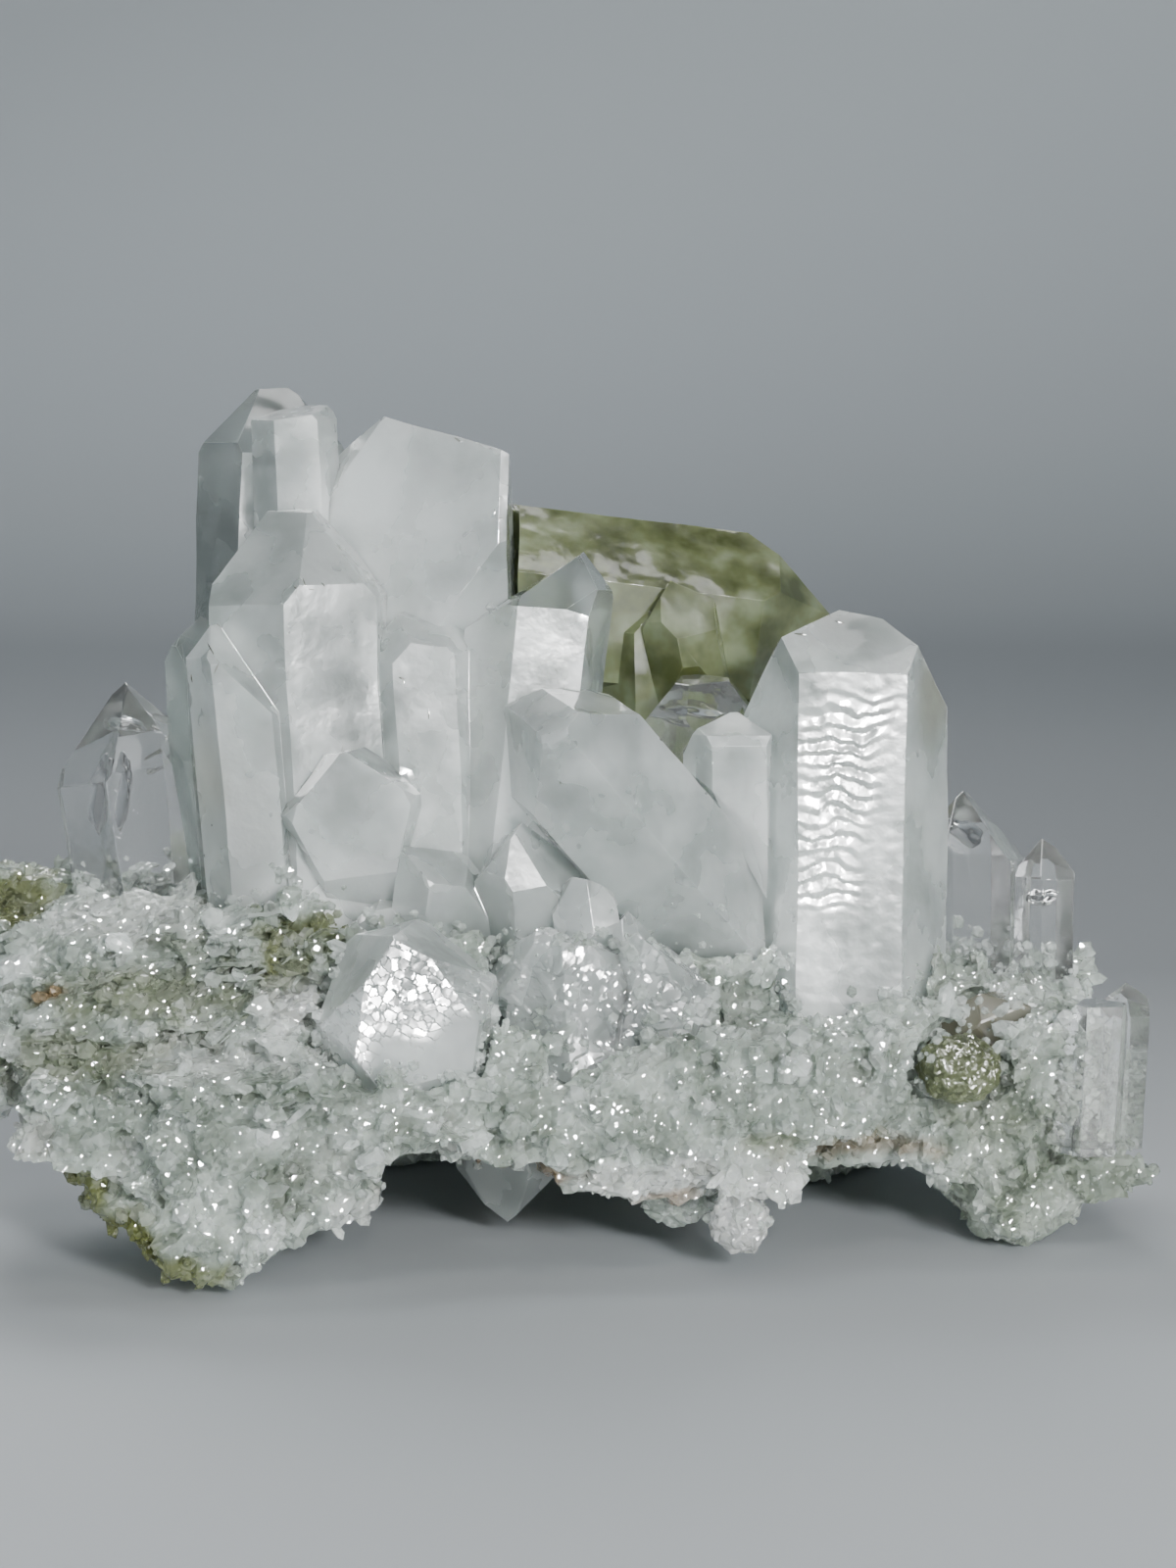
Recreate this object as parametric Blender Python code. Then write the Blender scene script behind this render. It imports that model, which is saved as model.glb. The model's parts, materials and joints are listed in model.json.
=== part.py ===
"""A quartz cluster: clear and milky points grown on a thin plate of green, sugary rock.

All sizes below are millimetres in a working frame: X to the right, Y away from the
viewer, Z up, with Z = 0 at the surface that the specimen rests on.
"""

import random
from collections import namedtuple
from math import cos, pi, radians, sin

import bmesh
import bpy
from mathutils import Matrix, Vector
from mathutils.bvhtree import BVHTree

MM = 0.001
SEED = 11
SEAT_GAP = 0.3
QUARTZ_IOR = 1.544
RHOMB_TILT = radians(51.8)
SIDES = 6
WELD = 0.002
NO_FACE = 100.0
TO_VIEWER = Vector((0, -1, 0))
BREAK_DEPTH = (0.42, 0.58)
DRUSE_START = 20.0
DRUSE_LENGTHS = (0.5, 1.4)
DRUSE_WIDTHS = (0.4, 0.6)
DRUSE_SUNK = 0.5
DRUSE_STANDS = 0.7
DRUSE_LEAN = 0.7
DRUSE_SCATTER = 0.8
GROUND = 100.0
NODULE_ROUGHNESS = 0.06

# A quartz point: the middle of its foot, its tip, its width across the flats, its turn
# about its own axis (0 has a flat towards the viewer, more turns it to the right), how
# far each end face is set back from the tip, and further faces as (direction round the
# axis, tilt from the axis, set back).
Quartz = namedtuple("Quartz", "foot tip width turn caps chips", defaults=(0, (0, 0.5) * 3, ()))

# A lump of rock: its middle, its size, its turn and how many planes are split off it.
Lump = namedtuple("Lump", "middle size turn breaks", defaults=((0, 0, 0), 10))

# A patch of small points: where they sit, how far they spread, the side that they grow
# on, how many they are and how long they are.
Druse = namedtuple("Druse", "middle spread facing count length")


# Helpers

def empty_scene():
    for old in list(bpy.data.objects):
        bpy.data.objects.remove(old)


def collection(name, parent):
    made = bpy.data.collections.new(name)
    parent.children.link(made)
    return made


def add_object(name, mesh, group):
    made = bpy.data.objects.new(name, mesh)
    group.objects.link(made)
    return made


def add_helper(name, mesh, group):
    made = add_object(name, mesh, group)
    made.hide_render = True
    made.display_type = "WIRE"
    return made


def slice_off(bm, point, normal):
    """Cuts away what lies beyond a plane and closes the cut with one flat face."""
    parts = bm.verts[:] + bm.edges[:] + bm.faces[:]
    cut = bmesh.ops.bisect_plane(
        bm, geom=parts, dist=1e-6, plane_co=point, plane_no=normal, clear_outer=True
    )
    rim = [part for part in cut["geom_cut"] if isinstance(part, bmesh.types.BMEdge)]
    if rim:
        bmesh.ops.edgeloop_fill(bm, edges=rim)


def weld(bm):
    """Merges the near-coincident corners that planes meeting in one point leave."""
    bmesh.ops.remove_doubles(bm, verts=bm.verts[:], dist=WELD)
    bmesh.ops.dissolve_degenerate(bm, dist=WELD, edges=bm.edges[:])


def mesh_from(bm, name):
    weld(bm)
    bmesh.ops.recalc_face_normals(bm, faces=bm.faces[:])
    mesh = bpy.data.meshes.new(name)
    bm.to_mesh(mesh)
    bm.free()
    return mesh


def quartz_mesh(point, grow=0.0):
    """One crystal, cut from a block by the planes that bound quartz: six sides that stand
    along its axis and six end faces that lean in at the rhomb's angle."""
    foot, tip = Vector(point.foot), Vector(point.tip)
    axis = (tip - foot).normalized()
    flat = (TO_VIEWER - axis * TO_VIEWER.dot(axis)).normalized()
    across = axis.cross(flat)
    reach = (tip - foot).length + 2 * point.width
    bm = bmesh.new()
    bmesh.ops.create_cube(bm, size=2 * reach, matrix=Matrix.Translation(foot))
    slice_off(bm, foot - axis * grow, -axis)
    for side in range(SIDES):
        angle = radians(point.turn) + side * 2 * pi / SIDES
        outward = flat * cos(angle) + across * sin(angle)
        slice_off(bm, foot + outward * (point.width / 2 + grow), outward)
        end = axis * cos(RHOMB_TILT) + outward * sin(RHOMB_TILT)
        slice_off(bm, tip + end * (point.caps[side] + grow), end)
    for direction, tilt, set_back in point.chips:
        outward = flat * cos(radians(direction)) + across * sin(radians(direction))
        face = axis * cos(radians(tilt)) + outward * sin(radians(tilt))
        slice_off(bm, tip + face * (set_back + grow), face)
    return mesh_from(bm, "quartz")


def lump_mesh(lump, chance):
    """One broken lump: a block with planes at random angles split off it."""
    bm = bmesh.new()
    bmesh.ops.create_cube(bm, size=1.0)
    for _ in range(lump.breaks):
        away = random_direction(chance)
        slice_off(bm, away * chance.uniform(*BREAK_DEPTH), away)
    turn = Matrix.Rotation(radians(lump.turn[2]), 4, "Z")
    turn @= Matrix.Rotation(radians(lump.turn[1]), 4, "Y")
    turn @= Matrix.Rotation(radians(lump.turn[0]), 4, "X")
    bm.transform(Matrix.Translation(lump.middle) @ turn @ Matrix.Diagonal((*lump.size, 1.0)))
    return mesh_from(bm, "lump")


def nodule_mesh(middle, radius, roughness, chance):
    """A round, knobbly lump."""
    bm = bmesh.new()
    bmesh.ops.create_icosphere(bm, subdivisions=2, radius=1.0)
    for corner in bm.verts:
        corner.co *= 1 + chance.uniform(-roughness, roughness)
    bm.transform(Matrix.Translation(middle) @ Matrix.Diagonal((*radius, 1.0)))
    return mesh_from(bm, "nodule")


def ground_mesh():
    """What lies below the surface that the specimen rests on."""
    bm = bmesh.new()
    bmesh.ops.create_cube(bm, size=GROUND, matrix=Matrix.Translation((0, 0, -GROUND / 2)))
    return mesh_from(bm, "ground")


def random_direction(chance):
    return Vector((chance.gauss(0, 1), chance.gauss(0, 1), chance.gauss(0, 1))).normalized()


def work_in_modifiers(obj):
    """Replaces the object's mesh by what its modifiers make of it."""
    graph = bpy.context.evaluated_depsgraph_get()
    mesh = bpy.data.meshes.new_from_object(obj.evaluated_get(graph))
    obj.modifiers.clear()
    old = obj.data
    obj.data = mesh
    bpy.data.meshes.remove(old)


def combine(obj, meshes, operation):
    """Joins shapes to an object, or cuts them from it."""
    group = collection(obj.name + "_" + operation.lower(), helpers)
    for mesh in meshes:
        add_helper(group.name, mesh, group)
    step = obj.modifiers.new(operation.title(), "BOOLEAN")
    step.operation = operation
    step.operand_type = "COLLECTION"
    step.collection = group
    work_in_modifiers(obj)


def keep_largest(obj):
    """Drops the crumbs that a cut leaves loose."""
    bm = bmesh.new()
    bm.from_mesh(obj.data)
    weld(bm)
    left = set(bm.verts)
    bodies = []
    while left:
        body, edge = set(), [left.pop()]
        while edge:
            corner = edge.pop()
            body.add(corner)
            near = {link.other_vert(corner) for link in corner.link_edges} & left
            left -= near
            edge.extend(near)
        bodies.append(body)
    bodies.sort(key=len)
    crumbs = [corner for body in bodies[:-1] for corner in body]
    bmesh.ops.delete(bm, geom=crumbs, context="VERTS")
    bm.to_mesh(obj.data)
    bm.free()


def grow_piece(name, meshes, material):
    """One solid made of the shapes that have grown together."""
    made = add_object(name, meshes[0], parts)
    if len(meshes) > 1:
        combine(made, meshes[1:], "UNION")
        keep_largest(made)
    made.data.materials.clear()
    made.data.materials.append(material)
    return made


def sockets(crystals):
    """The room that neighbouring crystals take up in what they sit in."""
    return [quartz_mesh(point, SEAT_GAP) for point in crystals]


def cut(obj, meshes):
    combine(obj, meshes, "DIFFERENCE")
    keep_largest(obj)


def druse_meshes(patch, surface, chance):
    """Small points that stand on a surface, as seen from the side that they grow on."""
    facing = Vector(patch.facing).normalized()
    found = []
    while len(found) < patch.count:
        shift = Vector([chance.uniform(-1, 1) * reach for reach in patch.spread])
        start = Vector(patch.middle) + shift + facing * DRUSE_START
        spot, normal, _, _ = surface.ray_cast(start, -facing)
        if spot is None:
            continue
        length = patch.length * chance.uniform(*DRUSE_LENGTHS)
        lean = facing * DRUSE_LEAN + random_direction(chance) * DRUSE_SCATTER
        axis = (normal + lean).normalized()
        root = spot - axis * DRUSE_SUNK * length
        tip = spot + axis * DRUSE_STANDS * length
        width = length * chance.uniform(*DRUSE_WIDTHS)
        found.append(Quartz(root, tip, width, chance.uniform(0, 60), (0, NO_FACE) * 3))
    return [quartz_mesh(point) for point in found]


def surface_of(obj):
    return BVHTree.FromObject(obj, bpy.context.evaluated_depsgraph_get())


def stand_on_origin(group):
    """Brings the middle of the base to the origin and turns millimetres into metres."""
    corners = [piece.matrix_world @ corner.co for piece in group.objects for corner in piece.data.vertices]
    low = Vector([min(corner[axis] for corner in corners) for axis in range(3)])
    high = Vector([max(corner[axis] for corner in corners) for axis in range(3)])
    moved = Vector((-(low.x + high.x) / 2, -(low.y + high.y) / 2, -low.z))
    for piece in group.objects:
        piece.data.transform(Matrix.Scale(MM, 4) @ Matrix.Translation(moved))


def finish(name, colour, roughness, clear):
    made = bpy.data.materials.new(name)
    made.use_nodes = True
    shader = made.node_tree.nodes["Principled BSDF"]
    shader.inputs["Base Color"].default_value = (*colour, 1.0)
    shader.inputs["Roughness"].default_value = roughness
    shader.inputs["Transmission Weight"].default_value = clear
    shader.inputs["IOR"].default_value = QUARTZ_IOR
    return made


# Crystals, by the piece that they are grown into

MAIN_CLUSTER = [
    Quartz((-7.8, 11.5, 18.6), (-7.8, 1.0, 36.8), 12.6, 30, (3.0, 4.2, 0.0, 1.2, 1.2, 0.0),
           chips=((90, 90, 4.2), (-90, 90, 4.5), (180, 90, 4.5))),
    Quartz((-15.7, 5.9, 13.0), (-14.9, 7.5, 38.9), 6.2, 12, (0.2, 0.6, 0.0, 0.6, 0.2, 0.5),
           chips=((-90, 8, -0.38), (-60, 62, 2.2))),
    Quartz((-13.2, 3.0, 20.0), (-13.6, 2.8, 38.9), 3.5, 8, (0.6, 0.2, 0.4, 0.4, 0.2, 0.6),
           chips=((-40, 10, -1.5),)),
    Quartz((-12.4, -1.0, 13.0), (-13.2, -0.6, 33.7), 7.6, 25, (0.5, 0.1, 0.4, 0.4, 0.6, 0.0),
           chips=((0, 4, -0.8),)),
    Quartz((-14.5, -3.4, 12.0), (-15.5, -3.4, 26.8), 4.2, 5, (1.4, 0.0, 0.6, 1.2, 1.6, 1.6)),
    Quartz((-16.9, 0.2, 14.0), (-17.6, -0.4, 28.2), 3.2, 10),
    Quartz((-10.6, 1.0, 14.6), (-10.6, -6.2, 21.4), 5.6, 10, (0.0, 1.4, 1.0, 1.2, 1.0, 1.4)),
    Quartz((-7.0, -1.6, 12.0), (-7.7, -1.2, 28.6), 4.7, 8, (1.4, 0.6, 0.8, 1.0, 0.6, 0.4),
           chips=((30, 24, -0.5), (-30, 40, 0.3))),
    Quartz((-3.6, -1.2, 14.0), (-1.9, -0.6, 31.4), 5.8, 12, (0.6, 1.2, 1.0, 0.6, 0.6, 0.6),
           chips=((-90, 38, -1.2), (20, 60, 1.2))),
    Quartz((9.0, 1.5, 10.2), (-3.1, -6.0, 25.3), 6.5, -20, (1.6, 2.0, 0.0, 0.4, 1.0, 0.0),
           chips=((90, 10, -1.1),)),
    Quartz((-2.3, -2.0, 10.0), (-2.8, -5.2, 18.9), 4.2, 14, (0.6, 0.0, 0.4, 0.6, 0.4, 0.9)),
    Quartz((0.4, -3.0, 9.0), (-0.3, -6.4, 16.7), 2.9, 34, (0.2, 0.6, 0.3, 0.6, 0.4, 0.0)),
    Quartz((1.6, -3.6, 9.0), (1.8, -6.2, 15.0), 2.2, 6, (0.6, 0.0, 0.4, 0.6, 0.4, 0.5)),
    Quartz((-3.6, -1.5, 11.0), (-8.0, -5.2, 17.9), 3.8, 12, (0.9, 0.2, 0.4, 0.6, 0.4, 0.3)),
    Quartz((-8.0, 0.0, 11.0), (-9.6, -6.0, 14.8), 4.4, 20, (0.8, 0.2, 0.6, 0.4, 0.6, 0.0)),
]

RIGHT_CRYSTAL = [
    Quartz((11.6, -1.4, 8.2), (11.9, 1.5, 29.0), 8.3, 0, (0.9, 2.3, 0.2, 0.6, 0.2, 2.0),
           chips=((-90, 66, 2.0), (-90, 27, -0.5), (90, 10, -0.9), (90, 41, 0.1), (90, 56, 1.1))),
]

SMALL_MIDDLE = [
    Quartz((6.9, -0.9, 11.0), (6.8, -0.6, 24.2), 4.4, 0, (0.6, 0.9, 0.3, 0.5, 0.3, 0.9),
           chips=((0, 16, -0.8),)),
]

LEFT_CLEAR = [
    Quartz((-19.6, 0.8, 12.4), (-21.5, 2.0, 24.6), 6.5, 16, (0.2, 0.2, 0.4, 0.4, 0.5, 0.0)),
]

RIGHT_CLEAR = [
    Quartz((18.0, 3.8, 8.0), (18.0, 5.0, 19.3), 4.9, 10, (0.2, 0.0, 0.4, 0.4, 0.2, 0.5)),
    Quartz((21.5, 2.9, 7.6), (21.6, 4.0, 16.9), 2.9, 20, (0.2, 0.4, 0.2, 0.4, 0.4, 0.3)),
]

EDGE_CRYSTAL = [
    Quartz((22.1, -6.6, 4.8), (22.4, -6.2, 12.2), 2.8, 12, (1.0, 1.2, 0.2, 0.6, 0.0, 0.8),
           chips=((0, 4, -0.7),)),
    Quartz((23.7, -4.6, 4.6), (23.9, -4.2, 11.8), 2.4, 28, (0.2, 0.6, 0.2, 0.6, 0.0, 0.4)),
]

GREEN_CRYSTAL = [
    Quartz((-4.6, 9.0, 28.2), (12.4, 10.4, 26.2), 8.4, 8, (0.4, 0.8, 0.6, 0.0, 0.0, 0.9)),
    Quartz((3.6, 9.0, 14.0), (3.6, 9.0, 30.8), 7.6, 12, (1.0, 0.6, 0.2, 0.4, 0.2, 0.6)),
    Quartz((8.6, 8.0, 12.0), (9.6, 11.0, 27.4), 6.0, 20, (0.4, 0.6, 0.0, 0.4, 0.1, 0.3)),
    Quartz((0.4, 10.0, 13.0), (-1.0, 13.4, 25.4), 5.0, 8, (0.4, 0.6, 0.0, 0.4, 0.1, 0.3)),
    Quartz((6.0, 6.4, 19.0), (4.1, 5.2, 29.2), 3.4, 20, (0.0, 0.8, 0.2, 0.4, 0.3, 0.5)),
]

SMALL_CLEAR = [
    Quartz((5.0, 2.8, 14.0), (5.2, 2.6, 25.9), 5.2, 24, (0.2, 0.5, 0.3, 0.4, 0.2, 0.5),
           chips=((0, 6, -0.9),)),
]

FRONT_CRYSTAL = [
    Quartz((-7.6, -6.2, 8.6), (-7.9, -12.8, 14.4), 6.9, 14, (0.0, 0.9, 0.8, 1.2, 0.8, 1.0)),
]

MOUND_CRYSTAL = [
    Quartz((-0.6, -4.4, 9.4), (-1.4, -9.0, 14.8), 8.0, 24, (0.4, 0.9, 0.2, 0.6, 0.6, 0.2)),
    Quartz((2.5, -4.6, 9.0), (2.4, -8.4, 14.2), 5.6, 8, (0.2, 0.6, 0.3, 0.6, 0.6, 0.2)),
]

HANGING_CRYSTAL = [
    Quartz((-3.4, -2.0, 8.0), (-3.8, -3.6, 0.9), 4.6, 14, (0.2, 0.5, 0.0, 0.4, 0.2, 0.5)),
]

TAN_CRYSTAL = [
    Quartz((15.6, -3.2, 8.6), (19.4, -5.6, 11.0), 2.7, 10, (0.0, 0.3, 0.4, 0.4, 0.2, 0.1)),
]

# Rock

LEDGE = [
    Lump((-19.6, -0.6, 14.6), (15.0, 13.0, 2.4), (3, -4, 8)),
    Lump((-22.2, -1.6, 13.2), (11.0, 12.0, 2.6), (5, -8, -6)),
    Lump((-19.6, -3.2, 11.6), (15.6, 12.0, 2.4), (5, -8, 4)),
    Lump((-21.0, -3.4, 10.0), (14.4, 12.6, 2.0), (2, -12, -8)),
    Lump((-21.4, -3.4, 8.8), (13.4, 12.0, 2.2), (4, -6, 10)),
    Lump((-22.6, -2.6, 7.4), (10.6, 10.4, 1.8), (0, -8, -4)),
    Lump((-26.0, 1.6, 14.6), (4.6, 6.0, 3.4), (0, 10, 20)),
    Lump((-16.6, -6.0, 12.4), (7.0, 5.0, 2.0), (0, -16, 0)),
    Lump((-14.0, -7.4, 10.6), (9.0, 6.0, 3.0), (0, -10, 12)),
]

ROOT = [
    Lump((-10.0, 3.0, 10.6), (22.0, 20.0, 8.0), (0, 3, 6)),
    Lump((-2.0, 4.0, 11.0), (18.0, 20.0, 9.0), (0, 0, -10)),
    Lump((7.0, 4.0, 9.6), (20.0, 19.0, 8.0), (0, 4, 8)),
    Lump((15.6, 2.6, 8.2), (15.0, 16.0, 6.6), (0, 6, -8)),
    Lump((-6.0, 10.0, 12.6), (18.0, 8.0, 9.0), (0, 0, 14)),
    Lump((6.0, 9.6, 12.6), (16.0, 8.0, 10.0), (0, 10, -6)),
    Lump((-14.6, 6.0, 12.0), (12.0, 11.0, 8.0), (0, -6, 10)),
    Lump((17.8, 5.4, 8.0), (10.0, 10.0, 7.4), (0, 8, 10)),
]

UNDERSIDE = [
    Lump((-8.0, -1.0, 7.0), (20.0, 13.0, 6.2), (0, 0, 4)),
    Lump((3.0, 0.0, 6.8), (18.0, 14.0, 6.0), (0, 0, -6)),
    Lump((12.0, 1.0, 6.4), (15.0, 12.0, 5.6), (0, 3, 4)),
    Lump((-10.0, 10.0, 6.4), (15.0, 7.6, 13.4), (0, 6, 4)),
    Lump((0.6, 10.8, 6.6), (13.0, 6.6, 11.0), (0, -4, -4)),
    Lump((11.6, 9.4, 6.0), (14.0, 7.0, 12.6), (0, -6, -4)),
]

FRONT_BAND = [
    Lump((-7.6, -7.6, 8.4), (12.0, 8.0, 5.6), (0, 4, -8)),
    Lump((-4.0, -8.2, 7.4), (10.0, 6.6, 4.4), (0, 0, 6)),
    Lump((3.6, -7.6, 8.0), (11.0, 7.4, 5.4), (0, 0, 8)),
    Lump((10.6, -4.6, 8.4), (10.0, 7.6, 6.0), (0, 0, 14)),
    Lump((13.6, -4.6, 9.2), (5.6, 5.6, 4.6), (0, 0, 40)),
]

LEFT_BLOCK = [
    Lump((-14.0, -9.4, 7.6), (16.6, 8.6, 5.0), (6, -3, -4)),
    Lump((-15.2, -10.4, 5.6), (12.0, 7.4, 5.6), (8, 6, 4)),
    Lump((-20.8, -9.6, 6.8), (7.4, 7.4, 3.4), (0, 16, 8)),
    Lump((-18.4, -10.0, 4.8), (5.6, 7.0, 4.8), (0, 40, 0)),
    Lump((-16.4, -11.0, 2.6), (4.8, 6.2, 5.4), (0, 42, 10)),
    Lump((-13.6, -10.6, 3.8), (5.6, 6.4, 3.6), (0, -32, 0)),
    Lump((-10.4, -10.4, 6.2), (6.6, 6.0, 3.0), (0, -24, 6)),
    Lump((-20.4, -8.0, 3.2), (3.0, 3.2, 2.6), (0, 30, 0)),
]

RIGHT_MASS = [
    Lump((17.4, -4.0, 8.4), (8.0, 5.4, 4.4), (0, 0, -10)),
    Lump((19.8, -2.8, 6.8), (8.8, 8.4, 6.2), (0, 4, 6)),
    Lump((19.2, -3.2, 3.3), (6.2, 6.0, 6.8), (0, 0, 20), 18),
    Lump((21.6, -2.6, 5.0), (4.6, 6.4, 6.2), (0, -12, 0)),
    Lump((15.6, -5.0, 4.8), (3.2, 3.6, 2.8), (0, 20, 0)),
    Lump((13.4, -6.0, 9.4), (3.4, 3.2, 3.4), (0, 0, 30), 16),
]

BOTTOM = [
    Lump((0.2, -8.4, 5.4), (6.0, 5.0, 3.4), (0, 4, 10)),
    Lump((4.0, -8.4, 5.0), (6.4, 5.0, 3.4), (0, 0, -8)),
    Lump((7.2, -8.4, 4.8), (4.4, 5.0, 3.6), (0, 0, 12)),
    Lump((4.4, -5.2, 3.6), (3.4, 4.4, 4.4), (0, 10, 0)),
]

# The middle and the half widths of the two round lumps.
WHITE_NODULE = ((6.6, -9.6, 2.4), (1.45, 1.4, 1.5))
GREEN_NODULE = ((16.4, -7.0, 8.6), (2.0, 1.7, 1.7))

ROCK = LEDGE + ROOT + UNDERSIDE + FRONT_BAND + LEFT_BLOCK + RIGHT_MASS + BOTTOM

FRONT, BACK, LEFT, RIGHT, UP = (0, -1, 0.2), (0, 1, 0.3), (-1, 0, 0.2), (1, 0, 0.2), (0, -0.2, 1)
DRUSE = [
    Druse((-15.0, -12.0, 5.0), (7.0, 3.0, 3.4), FRONT, 16, 1.8),
    Druse((-9.0, -12.0, 6.4), (5.0, 3.0, 2.0), FRONT, 8, 1.8),
    Druse((-21.0, -6.0, 10.0), (6.0, 4.0, 4.0), FRONT, 12, 1.6),
    Druse((-13.0, -5.0, 16.0), (2.6, 3.0, 3.0), UP, 9, 1.5),
    Druse((-11.5, -8.0, 14.0), (3.0, 3.0, 2.0), UP, 7, 1.8),
    Druse((4.0, -12.0, 7.4), (8.0, 3.0, 2.6), FRONT, 16, 1.5),
    Druse((20.0, -8.0, 5.0), (4.0, 3.0, 3.6), FRONT, 12, 1.7),
    Druse((17.0, -2.0, 12.0), (5.0, 3.0, 2.0), UP, 9, 1.7),
    Druse((24.0, -2.0, 6.0), (2.0, 4.0, 3.0), RIGHT, 6, 1.5),
    Druse((0.0, 14.0, 8.0), (14.0, 3.0, 7.0), BACK, 20, 2.4),
    Druse((0.0, 12.0, 18.0), (14.0, 4.0, 3.0), UP, 12, 2.6),
    Druse((-25.0, 0.0, 10.0), (3.0, 6.0, 4.0), LEFT, 6, 1.5),
]

# Build

empty_scene()
parts = collection("quartz_cluster", bpy.context.scene.collection)
helpers = collection("helpers", bpy.context.scene.collection)
chance = random.Random(SEED)

MILKY = finish("milky_quartz", (0.62, 0.66, 0.66), 0.25, 0.5)
CLEAR = finish("clear_quartz", (0.86, 0.89, 0.89), 0.08, 0.9)
GREEN = finish("chlorite_quartz", (0.30, 0.34, 0.20), 0.35, 0.3)
ROCK_FINISH = finish("sugary_rock", (0.48, 0.53, 0.47), 0.6, 0.0)
TAN = finish("tan_quartz", (0.50, 0.47, 0.40), 0.3, 0.3)
WHITE = finish("white_nodule", (0.75, 0.76, 0.72), 0.6, 0.0)

# Where two crystal pieces meet, the later one is cut back to leave room for the earlier.
CRYSTAL_PIECES = (
    ("right_crystal", RIGHT_CRYSTAL, MILKY),
    ("main_cluster", MAIN_CLUSTER, MILKY),
    ("left_clear_crystal", LEFT_CLEAR, CLEAR),
    ("right_clear_crystals", RIGHT_CLEAR, CLEAR),
    ("edge_crystal", EDGE_CRYSTAL, CLEAR),
    ("small_middle_crystal", SMALL_MIDDLE, MILKY),
    ("small_clear_crystal", SMALL_CLEAR, CLEAR),
    ("green_crystal", GREEN_CRYSTAL, GREEN),
    ("front_crystal", FRONT_CRYSTAL, MILKY),
    ("mound_crystal", MOUND_CRYSTAL, MILKY),
    ("hanging_crystal", HANGING_CRYSTAL, MILKY),
    ("tan_crystal", TAN_CRYSTAL, TAN),
)

placed = []
for name, points, material in CRYSTAL_PIECES:
    piece = grow_piece(name, [quartz_mesh(point) for point in points], material)
    if placed:
        cut(piece, sockets(placed))
    placed = placed + points

matrix = grow_piece("matrix", [lump_mesh(lump, chance) for lump in ROCK], ROCK_FINISH)
bare_rock = surface_of(matrix)
combine(matrix, [mesh for patch in DRUSE for mesh in druse_meshes(patch, bare_rock, chance)], "UNION")
rooms = sockets(placed) + [ground_mesh()]
for name, (middle, radius), material in (
    ("white_nodule", WHITE_NODULE, WHITE),
    ("green_nodule", GREEN_NODULE, GREEN),
):
    grow_piece(name, [nodule_mesh(middle, radius, NODULE_ROUGHNESS, chance)], material)
    rooms.append(nodule_mesh(middle, [half + 2 * SEAT_GAP for half in radius], 0.0, chance))
cut(matrix, rooms)

stand_on_origin(parts)
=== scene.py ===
# %% [markdown]
# # A quartz cluster
# Clear and milky crystals stand, lean and lie on a thin plate of green, sugary rock. The
# plain solids come from the CAD frame. This notebook gives them what makes quartz look like
# quartz: growth steps on its faces, milky clouds and veils inside, and a crust of sugar.

# %% Load the frame
import json
from math import cos, pi, radians, sin

import bmesh
import bpy
from mathutils import Matrix, Vector, noise
from mathutils.bvhtree import BVHTree

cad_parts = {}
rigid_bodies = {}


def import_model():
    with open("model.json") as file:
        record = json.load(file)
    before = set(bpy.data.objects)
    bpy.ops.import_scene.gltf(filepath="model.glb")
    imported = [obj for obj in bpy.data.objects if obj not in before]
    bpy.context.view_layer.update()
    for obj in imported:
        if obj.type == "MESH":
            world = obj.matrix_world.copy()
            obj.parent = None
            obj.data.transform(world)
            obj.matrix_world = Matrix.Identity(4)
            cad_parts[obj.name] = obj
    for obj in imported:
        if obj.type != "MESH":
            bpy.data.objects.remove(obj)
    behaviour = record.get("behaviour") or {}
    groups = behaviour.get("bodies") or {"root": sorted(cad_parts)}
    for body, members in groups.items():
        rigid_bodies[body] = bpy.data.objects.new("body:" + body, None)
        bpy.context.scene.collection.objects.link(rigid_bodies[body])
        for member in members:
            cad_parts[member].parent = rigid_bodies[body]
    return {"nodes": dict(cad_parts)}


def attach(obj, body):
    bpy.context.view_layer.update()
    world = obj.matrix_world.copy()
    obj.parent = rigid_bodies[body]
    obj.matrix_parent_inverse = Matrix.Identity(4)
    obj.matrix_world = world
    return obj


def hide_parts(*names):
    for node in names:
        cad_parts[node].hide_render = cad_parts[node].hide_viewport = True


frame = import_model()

noise.seed_set(5)
MM = 0.001
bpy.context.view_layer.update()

# %% [markdown]
# ## Camera
# The specimen is seen from a little above its base, through a long lens that keeps the
# crystals' sides parallel. An Empty isn't needed: `to_track_quat` turns the camera so that
# its -Z axis, the way it looks, points at the target.

# %% Camera
CAMERA_TARGET = Vector((1.985, -0.434, 20.4)) * MM
CAMERA_DISTANCE = 140 * MM
CAMERA_ELEVATION = radians(7)
camera = bpy.data.objects.new("camera", bpy.data.cameras.new("camera"))
camera.data.lens = 70
camera.data.sensor_width = 36
camera.data.clip_start = 10 * MM
back = Vector((0, -cos(CAMERA_ELEVATION), sin(CAMERA_ELEVATION)))
camera.location = CAMERA_TARGET + back * CAMERA_DISTANCE
camera.rotation_euler = back.to_track_quat("Z", "Y").to_euler()
bpy.context.scene.collection.objects.link(camera)
bpy.context.scene.camera = camera
print("camera at", [round(value, 4) for value in camera.location])

# %% [markdown]
# ## Node groups for clouds
# Every crystal has the same kind of unevenness: soft milky clouds some millimetres wide and
# fine grain inside them. A node group holds that once. Its inputs are sizes and strengths,
# its outputs a value that a material turns into colour or height.

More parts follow.
